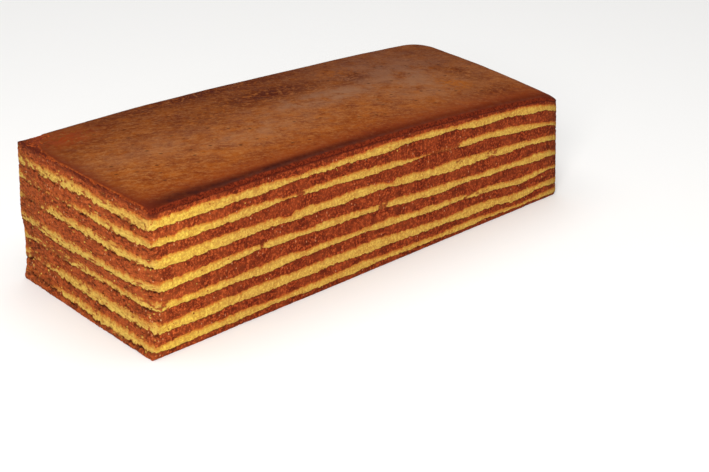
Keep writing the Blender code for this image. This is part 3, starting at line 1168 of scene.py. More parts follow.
@dataclass(frozen=True)
class CrustBands:
    """The bands along the crust's edges. All lengths are millimetres."""

    front_reach: float = 10.0
    front_power: float = 1.5
    maroon_middle: float = 1.8
    maroon_width: float = 2.2
    maroon_wider: float = 1.8
    wider_middle: float = 12.0
    wider_reach: float = 16.0
    maroon_fade: float = 0.45
    maroon_fade_start: float = 60.0
    maroon_fade_reach: float = 80.0
    rim_sheen_middle: float = 1.2
    rim_sheen_width: float = 0.6
    rim_sheen_start: float = 4.0
    rim_sheen_rise: float = 25.0
    edge_reach: float = 4.2
    edge_power: float = 1.3
    rear_width: float = 1.8
    far_start: float = 16.0
    far_reach: float = 62.0
    far_along: float = 0.4
    far_along_start: float = 60.0
    far_along_reach: float = 150.0

    def values(self, along: np.ndarray, across: np.ndarray, torn: np.ndarray) -> dict[str, np.ndarray]:
        """Return the share of each band: bells and smooth steps over the distance from an edge.

        Args:
            along: Distance from the cut end.
            across: Distance from the front face.
            torn: 1 where the crust broke away.

        Returns:
            The shares by the name that the finish reads.
        """
        wider = np.exp(-((along - self.wider_middle) / self.wider_reach) ** 2)
        # Painted shade on the rolled front rim: a dark band, wider near the cut end, fading along the bar.
        painted_rim_shade = np.exp(-((across - self.maroon_middle)
                          / (self.maroon_width + self.maroon_wider * wider)) ** 2)
        fade = self.maroon_fade * smooth_step((along - self.maroon_fade_start) / self.maroon_fade_reach)
        # Painted sheen: a thin grey-blue line on the front rim's outer slope.
        tint = np.exp(-((across - self.rim_sheen_middle) / self.rim_sheen_width) ** 2)
        far_along = smooth_step((along - self.far_along_start) / self.far_along_reach)
        return {"front": np.exp(-(across / self.front_reach) ** self.front_power),
                "painted_rim_shade": painted_rim_shade * (1.0 - fade),
                "tint": tint * smooth_step((along - self.rim_sheen_start) / self.rim_sheen_rise),
                "edge": np.exp(-(along / self.edge_reach) ** self.edge_power) * (1.0 - torn),
                # Painted sheen: a thin grey-blue line along the back rim.
                "painted_back_rim_sheen": np.exp(-((FORM.top_width - across) / self.rear_width) ** 2),
                # Painted shade: darker towards the back and the tin end.
                "far": smooth_step((across - self.far_start) / self.far_reach) + self.far_along * far_along}


@dataclass
class Crust:
    """The browned skin over the top layer, torn where the cut end was trimmed."""

    bands: CrustBands = field(default_factory=CrustBands)
    cells_along: int = 392
    cells_across: int = 166
    crowding_along: float = 1.12
    crowding_across: float = 1.28
    edge_inset: float = 0.4
    cut_corner_radius: float = 2.0
    sunk: float = 0.05
    skin: float = 1.0
    skirt_share: float = 0.8
    coarse_skirt: tuple[float, float] = (0.25, 1.9)
    slow_skirt: tuple[float, float] = (0.15, 7.0)
    lid_gap: float = 0.6
    bare_rim: float = 0.75
    bare_ragged: float = 0.7
    bare_softness: float = 0.5
    rim_size: tuple[float, float, float] = (2.2, 2.2, 2.0)
    torn_least: float = 0.5
    torn_more: float = 9.5
    torn_middle: float = 84.0
    torn_spread: float = 12.0
    torn_ragged: float = 0.8
    torn_size: float = 3.2
    torn_softness: float = 0.8
    torn_start: float = 0.2
    torn_depth: float = 0.25
    torn_grain_depth: float = 0.5
    torn_grain_size: float = 1.1
    blister_depth: float = 0.30
    blister_size: tuple[float, float, float] = (17.0, 11.0, 9.0)
    wrinkle_depth: float = 0.07
    wrinkle_size: tuple[float, float, float] = (1.8, 1.8, 2.0)
    pore_depth: float = 0.12
    pore_size: tuple[float, float, float] = (2.6, 2.6, 5.0)
    pore_share: float = 0.3
    pore_reach: float = 0.3

    def torn(self, along: np.ndarray, across: np.ndarray) -> np.ndarray:
        """Return where the crust broke away at the back corner of the cut end.

        The torn part reaches in from the cut end by a bell over the way across,
        made ragged by noise.

        Args:
            along: Distance from the cut end.
            across: Distance from the front face.

        Returns:
            1 where it is torn, 0 where it is whole.
        """
        bell = np.exp(-((across - self.torn_middle) / self.torn_spread) ** 2)
        reach = self.torn_least + self.torn_more * bell
        ragged = rough_noise(spots_at(along, across), self.torn_size, Seed.TORN)
        edge = reach * (1.0 + self.torn_ragged * ragged)
        return smooth_step((edge - along) / self.torn_softness + self.torn_start)

    def relief(self, along: np.ndarray, across: np.ndarray, torn: np.ndarray) -> np.ndarray:
        """Return the depth of the crust's blisters, wrinkles and pores, and of its torn part.

        Args:
            along: Distance from the cut end.
            across: Distance from the front face.
            torn: 1 where the crust broke away.

        Returns:
            The depth in millimetres.
        """
        spots = spots_at(along, across)
        blister = 0.5 + 0.5 * rough_noise(spots, self.blister_size, Seed.BLISTER)
        wrinkle = 0.5 + 0.5 * rough_noise(spots, self.wrinkle_size, Seed.WRINKLE, 2)
        pore, mark = nearest_grain(spots, self.pore_size, Seed.PORE)
        pores = np.where(mark < self.pore_share, smooth_step(1.0 - pore / self.pore_reach), 0.0)
        grain, _ = nearest_grain(spots, self.torn_grain_size, Seed.TORN_GRAIN)
        return (self.blister_depth * blister + self.wrinkle_depth * wrinkle + self.pore_depth * pores
                + torn * (self.torn_depth + self.torn_grain_depth * grain ** 2))

    def patches(self, along: np.ndarray, across: np.ndarray, kind: Patch) -> np.ndarray:
        """Return how strong one kind of patch is: the largest of their bells.

        Args:
            along: Distance from the cut end.
            across: Distance from the front face.
            kind: Which patches.

        Returns:
            The strength, from 0 to 1.
        """
        total = np.zeros_like(along)
        for patch in CRUST_PATCHES:
            if patch.kind is kind:
                total = np.maximum(total, patch.strength * np.exp(-patch.distance(along, across)))
        return total

    def grid(self) -> tuple[np.ndarray, np.ndarray]:
        """Work out the crust's grid in plan, with its four corners rounded.

        Returns:
            The places along and across.
        """
        along, across = np.meshgrid(stations(self.cells_along, FORM.top_length, self.crowding_along),
                                    stations(self.cells_across, FORM.top_width, self.crowding_across))
        for corner in ((FORM.top_length, FORM.top_width, FORM.back_corner_radius),
                       (FORM.top_length, 0.0, FORM.front_corner_radius),
                       (0.0, 0.0, 0.5 * self.cut_corner_radius),
                       (0.0, FORM.top_width, self.cut_corner_radius)):
            along, across = round_corner(along, across, *corner)
        return along, across

    def build(self) -> bpy.types.Mesh:
        """Work out the crust as a grid in plan with a short wall and a plain lid below.

        A grid point's height is the loaf's, less the rolled rim and the relief.

        Returns:
            The crust's mesh.
        """
        along, across = self.grid()
        torn = self.torn(along, across)
        height = FORM.height(along, across) - FORM.rim_drop(along, across)
        height = height - self.sunk - self.relief(along, across, torn)
        in_along, in_across = drawn_in(along, across, 1.0 - 2.0 * self.edge_inset / FORM.top_length,
                                       1.0 - 2.0 * self.edge_inset / FORM.top_width)
        top = FORM.place(in_along, in_across, height)
        index = np.arange(along.size).reshape(along.shape)
        quads = np.stack((index[:-1, :-1], index[:-1, 1:], index[1:, 1:], index[1:, :-1]), axis=-1)
        rim = np.concatenate((index[0, :-1], index[:-1, -1], index[-1, :0:-1], index[:0:-1, 0]))
        rim = np.roll(rim, self.cells_across // 2)
        rim_along, rim_across = in_along.ravel()[rim], in_across.ravel()[rim]
        spots = spots_at(rim_along, rim_across)
        ragged = (self.coarse_skirt[0] * rough_noise(spots, self.coarse_skirt[1], Seed.COARSE_SKIRT)
                  + self.slow_skirt[0] * soft_noise(spots, self.slow_skirt[1], Seed.SLOW_SKIRT))
        skirt = FORM.place(rim_along, rim_across, height.ravel()[rim] - self.skin * self.skirt_share - ragged)
        ring_along, ring_across = inner_ring(rim_along, rim_across)
        ring_height = FORM.height(ring_along, ring_across) - self.skin - self.lid_gap
        ring = FORM.place(ring_along, ring_across, ring_height)
        lower = np.arange(along.size, along.size + len(rim))
        wall = np.stack((lower, np.roll(lower, -1), np.roll(rim, -1), rim), axis=-1)
        lid_quads, lid_triangles = lid_faces(lower, lower[-1] + 1 + np.arange(LID_RING), False)
        mesh = make_mesh("crust", np.concatenate((top, skirt, ring)),
                         np.concatenate((quads.reshape(-1, 4), wall, lid_quads)), lid_triangles)
        ragged_rim = rough_noise(spots_at(along, across), self.rim_size, Seed.RIM)
        bare = self.bare_rim * (1.0 + self.bare_ragged * ragged_rim) - across
        values = {"torn": torn, "bare": smooth_step(bare / self.bare_softness + 0.5),
                  **self.bands.values(along, across, torn),
                  **{kind.value: self.patches(along, across, kind) for kind in Patch}}
        flat = {name: array.ravel() for name, array in values.items()}
        skirts = {name: np.ones(len(rim)) if name == "bare" else array[rim] for name, array in flat.items()}
        set_values(mesh, **{name: np.concatenate((array, skirts[name], np.zeros(LID_RING)))
                            for name, array in flat.items()})
        return mesh


@dataclass(frozen=True)
class ClingingCrumbs:
    """Crumbs of one batter that cling to the cut faces, joined into one piece."""

    name: str
    seed: int
    at_cut_end: int
    on_front: int
    at_edge: int
    placed: tuple[tuple[float, float, float], ...] = ()
    smallest: float = 0.15
    largest: float = 0.42
    sunk: float = 1.4
    unevenness: float = 0.5
    # Share of the painted light that brightens these crumbs.
    painted_light: float = 0.6
    flattened: tuple[float, float] = (0.7, 1.3)
    lump_size: float = 1.6
    crumb_step: float = 9.0
    columns: int = 8
    rings: int = 4
    lowest: float = 2.0
    below_top: float = 4.0
    below_front_top: float = 5.0
    off_edges: float = 1.0
    off_tin_end: float = 6.0
    front_start: float = 0.01
    front_power: float = 1.5
    edge_turn: float = 2.5
    edge_start: float = 0.5
    edge_heights: tuple[float, float] = (5.0, 34.0)

    def middles(self, chance: np.random.Generator, radius: np.ndarray) -> np.ndarray:
        """Scatter the crumbs' middles over the cut end, the front and the upright edge between them.

        Each middle lies its crumb's radius times sunk behind the plain face.

        Args:
            chance: The source of random numbers.
            radius: The crumbs' radii in millimetres.

        Returns:
            The middles in bar coordinates, one a row.
        """
        parts = (self.at_cut_end, self.on_front, self.at_edge, len(self.placed))
        counts = np.cumsum((0, *parts))
        along, across = np.zeros(counts[-1]), np.zeros(counts[-1])
        height = chance.uniform(self.lowest, FORM.high - self.below_top, counts[-1])
        end, front, edge, placed = (slice(first, last) for first, last in zip(counts[:-1], counts[1:]))
        across[end] = chance.uniform(self.off_edges, FORM.top_width - self.off_edges, parts[0])
        share = chance.uniform(self.front_start, 1.0, parts[1]) ** self.front_power
        along[front] = (FORM.top_length - self.off_tin_end) * share
        front_top = FORM.height(along[front], across[front]) - self.below_front_top
        height[front] = chance.uniform(self.lowest, front_top)
        turn = chance.uniform(-self.edge_turn, self.edge_turn, parts[2])
        along[edge] = self.edge_start + np.maximum(turn, 0.0)
        across[edge] = self.edge_start + np.maximum(-turn, 0.0)
        height[edge] = chance.uniform(*self.edge_heights, parts[2])
        if self.placed:
            along[placed], across[placed], height[placed] = np.array(self.placed).T
        along[end] += self.sunk * radius[end]
        across[counts[1]:] += self.sunk * radius[counts[1]:]
        along[edge] += 0.5 * self.sunk * radius[edge]
        return np.stack((along, across, height), axis=-1)

    def ball(self) -> tuple[np.ndarray, np.ndarray, np.ndarray]:
        """Return a ball: rings of turn and tilt between two poles.

        A direction is sin(tilt) times the turn's cosine and sine, and -cos(tilt) up.

        Returns:
            The directions, one a row, the quads and the triangles.
        """
        turn = 2.0 * np.pi * np.arange(self.columns) / self.columns
        tilt = np.pi * np.arange(1, self.rings + 1)[:, None] / (self.rings + 1)
        grid = np.stack(np.broadcast_arrays(np.sin(tilt) * np.cos(turn), np.sin(tilt) * np.sin(turn),
                                            -np.cos(tilt)), axis=-1).reshape(-1, 3)
        rim = np.arange(self.columns)
        following = np.roll(rim, -1)
        lift, bottom = len(grid) - self.columns, np.full(self.columns, len(grid))
        triangles = np.concatenate((np.stack((following, rim, bottom), axis=-1),
                                    np.stack((rim + lift, following + lift, bottom + 1), axis=-1)))
        directions = np.concatenate((grid, ((0.0, 0.0, -1.0), (0.0, 0.0, 1.0))))
        return directions, wall_quads(self.rings, self.columns), triangles

    def build(self) -> bpy.types.Mesh:
        """Make each crumb from a ball, scaled, flattened and roughened by noise.

        Returns:
            The mesh of all the crumbs.
        """
        chance = np.random.default_rng(self.seed)
        total = self.at_cut_end + self.on_front + self.at_edge + len(self.placed)
        radius = chance.uniform(self.smallest ** 0.5, self.largest ** 0.5, total) ** 2
        middles = self.middles(chance, radius)
        directions, quads, triangles = self.ball()
        number = np.arange(total)[:, None, None]
        rough = soft_noise(self.lump_size * directions + self.crumb_step * number, 1.0, self.seed)
        stretch = chance.uniform(*self.flattened, (total, 1, 3))
        lumps = directions * stretch * radius[:, None, None] * (1.0 + self.unevenness * rough[..., None])
        points = FORM.place(*middles.T)[:, None] + lumps * MM
        first = len(directions) * number
        mesh = make_mesh(self.name, points.reshape(-1, 3), (quads + first).reshape(-1, 4),
                         (triangles + first).reshape(-1, 3))
        values = {"low": NO_BORDER, "high": NO_BORDER, "rough": 1.0, "painted_light": self.painted_light}
        set_values(mesh, **{name: np.full(total * len(directions), value) for name, value in values.items()})
        return mesh


CLINGING = {
    Crumb.RED: ClingingCrumbs("red_loose_crumbs", seed=5, at_cut_end=190, on_front=80, at_edge=50),
    Crumb.YELLOW: ClingingCrumbs("yellow_loose_crumbs", seed=8, at_cut_end=22, on_front=16, at_edge=12,
                                 placed=((81.5, 0.0, 46.6), (81.9, 0.0, 46.0), (112.2, 0.0, 45.4),
                                         (117.0, 0.0, 39.7), (117.6, 0.0, 40.1), (147.2, 0.0, 45.0))),
}

LIGHT_LEVEL = 1.2
BRIGHTEST = 255.0
CURVE_KNEE, CURVE_SLOPE, CURVE_OFFSET, CURVE_POWER = 0.04045, 12.92, 0.055, 2.4


def seen(red: int, green: int, blue: int) -> Colour:
    """Return the linear colour of a surface that looks like this in the studio's light.

    The screen's curve is undone, a straight line below its knee and a power
    above it, and the result is divided by the light's level.

    Args:
        red: Red as it looks, from 0 to 255.
        green: Green, likewise.
        blue: Blue, likewise.

    Returns:
        The colour for a material's socket.
    """
    shares = np.array((red, green, blue)) / BRIGHTEST
    linear = np.where(shares <= CURVE_KNEE, shares / CURVE_SLOPE,
                      ((shares + CURVE_OFFSET) / (1.0 + CURVE_OFFSET)) ** CURVE_POWER)
    return tuple(float(value) for value in linear / LIGHT_LEVEL)


@dataclass(frozen=True)
class Grain:
    """A pattern of a finish: its lumps' size in millimetres, and how it is turned and then scaled."""

    size: float
    detail: float = 2.0
    roughness: float = 0.5
    distortion: float = 0.0
    stretch: Colour = (1.0, 1.0, 1.0)
    turn: float = 0.0


@dataclass(frozen=True)
class Ramp:
    """The range that a value is read over, and the one that it is carried to."""

    low: float
    high: float
    to_low: float = 0.0
    to_high: float = 1.0


Socket = bpy.types.NodeSocket
Source = Socket | Colour | float


class NodePainter:
    """Builds the nodes of one material and hands their sockets on."""

    NUMBER_FACTOR, NUMBER_FIRST, NUMBER_SECOND, NUMBER_RESULT = 0, 2, 3, 0
    COLOUR_FACTOR, COLOUR_FIRST, COLOUR_SECOND, COLOUR_RESULT = 0, 6, 7, 2

    def __init__(self, name: str) -> None:
        """Start a material with a bare Principled shader.

        Args:
            name: Name of the material.
        """
        self.material = bpy.data.materials.new(name)
        self.material.use_nodes = True
        self.tree = self.material.node_tree
        self.shader = self.tree.nodes["Principled BSDF"]
        self.place = self.tree.nodes.new("ShaderNodeTexCoord").outputs["Object"]

    def link(self, value: Source, socket: Socket) -> None:
        """Feed a socket from another one, or set it to a number or a colour.

        Args:
            value: What the socket gets.
            socket: The socket.
        """
        if isinstance(value, Socket):
            self.tree.links.new(value, socket)
        elif isinstance(value, tuple):
            socket.default_value = (*value, 1.0)[:len(socket.default_value)]
        else:
            socket.default_value = value

    def value(self, name: str) -> Socket:
        """Return one of the mesh's stored point values.

        Args:
            name: Name of its attribute.

        Returns:
            The value's socket.
        """
        node = self.tree.nodes.new("ShaderNodeAttribute")
        node.attribute_name = name
        return node.outputs["Fac"]

    def place_for(self, grain: Grain) -> Socket:
        """Return the coordinates that a pattern is read at: turned about Z, then scaled along each axis.

        Args:
            grain: The pattern.

        Returns:
            The coordinates' socket.
        """
        if grain.stretch == Grain.stretch:
            return self.place
        turned = self.tree.nodes.new("ShaderNodeVectorRotate")
        turned.rotation_type = "Z_AXIS"
        self.link(self.place, turned.inputs["Vector"])
        turned.inputs["Angle"].default_value = grain.turn
        node = self.tree.nodes.new("ShaderNodeVectorMath")
        node.operation = "MULTIPLY"
        self.link(turned.outputs["Vector"], node.inputs[0])
        node.inputs[1].default_value = grain.stretch
        return node.outputs["Vector"]

    def noise(self, grain: Grain) -> Socket:
        """Return fractal noise.

        Args:
            grain: Its pattern.

        Returns:
            The noise's socket, from 0 to 1.
        """
        node = self.tree.nodes.new("ShaderNodeTexNoise")
        self.link(self.place_for(grain), node.inputs["Vector"])
        for name, value in (("Scale", 1.0 / (grain.size * MM)), ("Detail", grain.detail),
                            ("Roughness", grain.roughness), ("Distortion", grain.distortion)):
            node.inputs[name].default_value = value
        return node.outputs["Fac"]

    def cells(self, grain: Grain) -> tuple[Socket, Socket]:
        """Return how far the nearest scattered point is, and that point's random number.

        Args:
            grain: The points' pattern, of which the size, stretch and turn are used.

        Returns:
            The sockets of the distance, in sizes, and of the number.
        """
        node = self.tree.nodes.new("ShaderNodeTexVoronoi")
        self.link(self.place_for(grain), node.inputs["Vector"])
        node.inputs["Scale"].default_value = 1.0 / (grain.size * MM)
        parts = self.tree.nodes.new("ShaderNodeSeparateColor")
        self.link(node.outputs["Color"], parts.inputs["Color"])
        return node.outputs["Distance"], parts.outputs["Red"]

    def remap(self, value: Source, ramp: Ramp) -> Socket:
        """Carry a value from one range to another and keep it within it.

        Args:
            value: The value.
            ramp: Both ranges.

        Returns:
            The result's socket.
        """
        node = self.tree.nodes.new("ShaderNodeMapRange")
        self.link(value, node.inputs["Value"])
        for name, limit in (("From Min", ramp.low), ("From Max", ramp.high),
                            ("To Min", ramp.to_low), ("To Max", ramp.to_high)):
            node.inputs[name].default_value = limit
        return node.outputs["Result"]

    def between(self, share: Source, first: Source, second: Source) -> Socket:
        """Return a number a share of the way from one to another.

        Args:
            share: The share.
            first: The number at a share of 0.
            second: The number at a share of 1.

        Returns:
            The number's socket.
        """
        node = self.tree.nodes.new("ShaderNodeMix")
        self.link(share, node.inputs[self.NUMBER_FACTOR])
        self.link(first, node.inputs[self.NUMBER_FIRST])
        self.link(second, node.inputs[self.NUMBER_SECOND])
        return node.outputs[self.NUMBER_RESULT]

    def math(self, operation: str, first: Source, second: Source) -> Socket:
        """Work a sum out.

        Args:
            operation: Name of the Math node's operation.
            first: Its first number.
            second: Its second number.

        Returns:
            The result's socket.
        """
        node = self.tree.nodes.new("ShaderNodeMath")
        node.operation = operation
        self.link(first, node.inputs[0])
        self.link(second, node.inputs[1])
        return node.outputs["Value"]

    def mix(self, share: Source, first: Source, second: Source, blend: str = "MIX") -> Socket:
        """Mix two colours by a share, or blend them in the named way.

        Args:
            share: The share.
            first: The colour at a share of 0.
            second: The colour at a share of 1.
            blend: Name of the Mix node's blend type.

        Returns:
            The colour's socket.
        """
        node = self.tree.nodes.new("ShaderNodeMix")
        node.data_type = "RGBA"
        node.blend_type = blend
        self.link(share, node.inputs[self.COLOUR_FACTOR])
        self.link(first, node.inputs[self.COLOUR_FIRST])
        self.link(second, node.inputs[self.COLOUR_SECOND])
        return node.outputs[self.COLOUR_RESULT]

    def times(self, first: Source, second: Source) -> Socket:
        """Return the product of two numbers."""
        return self.math("MULTIPLY", first, second)

    def lay(self, name: str, pattern: Source, colour: Source, over: Source) -> Socket:
        """Return a colour with another laid over it, by a stored value times a pattern."""
        return self.mix(self.times(self.value(name), pattern), colour, over)

    def tinted(self, share: Source, colour: Source, tint: Colour) -> Socket:
        """Return a colour multiplied by a tint, as far as the share says."""
        return self.mix(share, colour, self.mix(1.0, colour, tint, "MULTIPLY"))

    def bump(self, coarse: Grain, fine: Grain, fine_share: float, depth: float) -> None:
        """Give the shader a bump of two noises added up.

        Args:
            coarse: The first noise's pattern.
            fine: The second one's.
            fine_share: How strong the second one is.
            depth: Depth in millimetres.
        """
        node = self.tree.nodes.new("ShaderNodeBump")
        node.inputs["Distance"].default_value = depth * MM
        node.inputs["Strength"].default_value = 1.0
        height = self.math("ADD", self.noise(coarse), self.times(self.noise(fine), fine_share))
        self.link(height, node.inputs["Height"])
        self.link(node.outputs["Normal"], self.shader.inputs["Normal"])

    def finish(self, colour: Source, roughness: Source, specular: float) -> bpy.types.Material:
        """Connect the shader.

        Args:
            colour: Base colour.
            roughness: Roughness.
            specular: Specular level, set on the shader itself.

        Returns:
            The finished material.
        """
        self.link(colour, self.shader.inputs["Base Color"])
        self.link(roughness, self.shader.inputs["Roughness"])
        self.shader.inputs["Specular IOR Level"].default_value = specular
        return self.material


@dataclass(frozen=True)
class CrumbTones:
    """The colours that one crumb is mottled with, and the painted shade that darkens it in a pit."""

    base: Colour
    shadow: Colour
    light: Colour
    # Painted shade in a pit.
    deep: Colour
    contrast: float
    middle: float = 0.53
    reach: float = 0.125

    def mottled(self, painter: NodePainter, grain: Socket, patch: Socket) -> Socket:
        """Mottle the crumb: darker below the grain's middle, lighter above it and in patches.

        Args:
            painter: The material's painter.
            grain: Share of the fine grain.
            patch: Share of the wider patches.

        Returns:
            The colour's socket.
        """
        reach = self.reach / self.contrast
        darker = painter.remap(grain, Ramp(self.middle - reach, self.middle))
        lighter = painter.remap(grain, Ramp(self.middle, self.middle + reach))
        colour = painter.mix(lighter, painter.mix(darker, self.shadow, self.base), self.light)
        return painter.mix(patch, colour, self.light)


RED_TONES = CrumbTones(base=seen(144, 48, 21), shadow=seen(82, 21, 9), light=seen(200, 90, 44),
                       deep=seen(60, 22, 9), contrast=1.9)
YELLOW_TONES = CrumbTones(base=seen(233, 180, 75), shadow=seen(202, 138, 58), light=seen(252, 214, 98),
                          deep=seen(132, 84, 24), contrast=1.6)


@dataclass(frozen=True)
class EdgeBand:
    """A band of another colour that a crumb has along one edge of a layer."""

    colour: Colour
    share: float
    reach: float
    least: float
    core: float = 0.08
    break_low: float = 0.38
    break_high: float = 0.56

    def laid(self, painter: NodePainter, colour: Socket, distance: Socket, broken: Socket) -> Socket:
        """Lay the band over a colour. It fades with the distance and is broken up.

        Args:
            painter: The material's painter.
            colour: The colour under it.
            distance: Distance from the layer's edge in millimetres.
            broken: The noise that breaks it up.

        Returns:
            The colour's socket.
        """
        share = painter.remap(distance, Ramp(self.core * self.reach, self.reach, self.share, 0.0))
        whole = painter.remap(broken, Ramp(self.break_low, self.break_high, self.least, 1.0))
        return painter.mix(painter.times(share, whole), colour, self.colour)


@dataclass(frozen=True)
class CrumbFinish:
    """Colours, patterns and roughness of a cut crumb.

    The fine grain is drawn out upright on a smooth face and along the layers
    on a rough one.
    """

    name: str
    slot: str
    own: CrumbTones
    other: CrumbTones
    upper_edge: EdgeBand
    lower_edge: EdgeBand
    fleck_and_glint: Colour
    fleck_limit: float
    crack_shade_share: float
    # Painted shade: a tint that darkens the crumb where it is multiplied in.
    painted_shade: Colour
    # Painted light: a tint that brightens the crumb where it is multiplied in.
    painted_light: Colour
    dusty: Colour
    baked: Colour = seen(96, 30, 16)
    roughness: float = 0.85
    specular: float = 0.06
    upright: Grain = Grain(0.7, 2.0, 0.6, stretch=(1.0, 1.0, 0.4))
    lying: Grain = Grain(0.9, 3.0, 0.7, stretch=(0.34, 0.34, 1.0))
    even: Grain = Grain(1.0, 3.0, 0.75)
    drawn_share: float = 0.4
    patches: Grain = Grain(6.0)
    patch_ramp: Ramp = Ramp(0.40, 0.62, 0.0, 0.25)
    rough_patch: float = 0.3
    breaks: Grain = Grain(2.6, 3.0, 0.6)
    wander: Grain = Grain(0.7)
    wander_ramp: Ramp = Ramp(0.3, 0.7, -0.25, 0.25)
    least_spread: float = 0.65
    flecks: Grain = Grain(0.85, stretch=(1.0, 1.0, 0.55))
    fleck_ramp: Ramp = Ramp(0.16, 0.34, 0.85, 0.0)
    rough_flecks: float = 0.06
    crack_ramp: Ramp = Ramp(0.36, 0.46, 0.9, 0.0)
    crack_rough_ramp: Ramp = Ramp(0.4, 1.0)
    pit_shade_ramp: Ramp = Ramp(0.20, 0.80)
    bump_coarse: Grain = Grain(0.45, 3.0, 0.6)
    bump_fine: Grain = Grain(0.16, 1.0)
    bump_fine_share: float = 0.35
    bump_depth: float = 0.3

    def material(self) -> bpy.types.Material:
        """Build the crumb: mottled, banded at its edges, smeared, flecked, darkened by painted shade in its
        pits and cracks, and tinted, partly by painted shade and painted light.

        Returns:
            The material.
        """
        painter = NodePainter(self.name)
        rough = painter.value("rough")
        lying = painter.noise(self.lying)
        drawn = painter.between(rough, painter.noise(self.upright), lying)
        grain = painter.between(self.drawn_share, painter.noise(self.even), drawn)
        patch = painter.math("ADD", painter.remap(painter.noise(self.patches), self.patch_ramp),
                             painter.times(rough, self.rough_patch))
        colour = self.own.mottled(painter, grain, patch)
        broken = painter.noise(self.breaks)
        spread = painter.math("ADD", self.least_spread, rough)
        wander = painter.remap(painter.noise(self.wander), self.wander_ramp)
        for name, band in (("low", self.lower_edge), ("high", self.upper_edge)):
            distance = painter.math("DIVIDE", painter.math("ADD", painter.value(name), wander), spread)
            colour = band.laid(painter, colour, distance, broken)
        colour = painter.mix(painter.value("smear"), colour, self.other.mottled(painter, grain, patch))
        # Flecks of another colour; on the red crumb they are lighter crumbs with painted glints.
        distance, chance = painter.cells(self.flecks)
        lucky = painter.math("ADD", chance, painter.times(rough, self.rough_flecks))
        fleck_and_glint = painter.times(painter.remap(distance, self.fleck_ramp),
                              painter.math("GREATER_THAN", lucky, self.fleck_limit))
        colour = painter.mix(fleck_and_glint, colour, self.fleck_and_glint)
        # Painted shade: dark lines along the layers on rough faces, and the pits by their stored share,
        # darken towards the deep colour.
        crack_shade = painter.times(painter.remap(lying, self.crack_ramp),
                              painter.remap(rough, self.crack_rough_ramp))
        crack_shade = painter.times(crack_shade, self.crack_shade_share)
        hollow = painter.math("MAXIMUM", painter.remap(painter.value("hollow"), self.pit_shade_ramp), crack_shade)
        colour = painter.mix(hollow, colour, self.own.deep)
        colour = painter.mix(painter.value("baked"), colour, self.baked)
        # Tints: one for rough faces, then painted shade and painted light.
        for share, tint in ((rough, self.dusty), (painter.value("painted_shade"), self.painted_shade),
                            (painter.value("painted_light"), self.painted_light)):
            colour = painter.tinted(share, colour, tint)
        painter.bump(self.bump_coarse, self.bump_fine, self.bump_fine_share, self.bump_depth)
        return painter.finish(colour, self.roughness, self.specular)


RED_FINISH = CrumbFinish(
    name="red_crumb_finish", slot="red_crumb", own=RED_TONES, other=YELLOW_TONES,
    upper_edge=EdgeBand(seen(84, 40, 12), 0.6, 0.7, 0.2),
    lower_edge=EdgeBand(seen(196, 98, 38), 0.5, 0.5, 0.4),
    # Pale pinkish flecks: lighter crumbs with painted glints.
    fleck_and_glint=seen(226, 150, 104), fleck_limit=0.96, crack_shade_share=0.8,
    painted_shade=(0.62, 0.78, 0.86), painted_light=(1.25, 1.42, 1.35), dusty=(0.94, 1.10, 1.10))

YELLOW_FINISH = CrumbFinish(
    name="yellow_crumb_finish", slot="yellow_crumb", own=YELLOW_TONES, other=RED_TONES,
    upper_edge=EdgeBand(seen(210, 106, 40), 0.95, 1.15, 0.5),
    lower_edge=EdgeBand(seen(226, 188, 92), 0.45, 0.5, 0.3),
    fleck_and_glint=seen(196, 102, 38), fleck_limit=0.965, crack_shade_share=0.4,
    painted_shade=(0.62, 0.60, 0.62), painted_light=(1.18, 1.28, 1.06), dusty=(0.82, 0.80, 0.98))

WISP_TURN = math.radians(22.0)
WISP_STRETCH = (0.45, 1.0, 1.0)


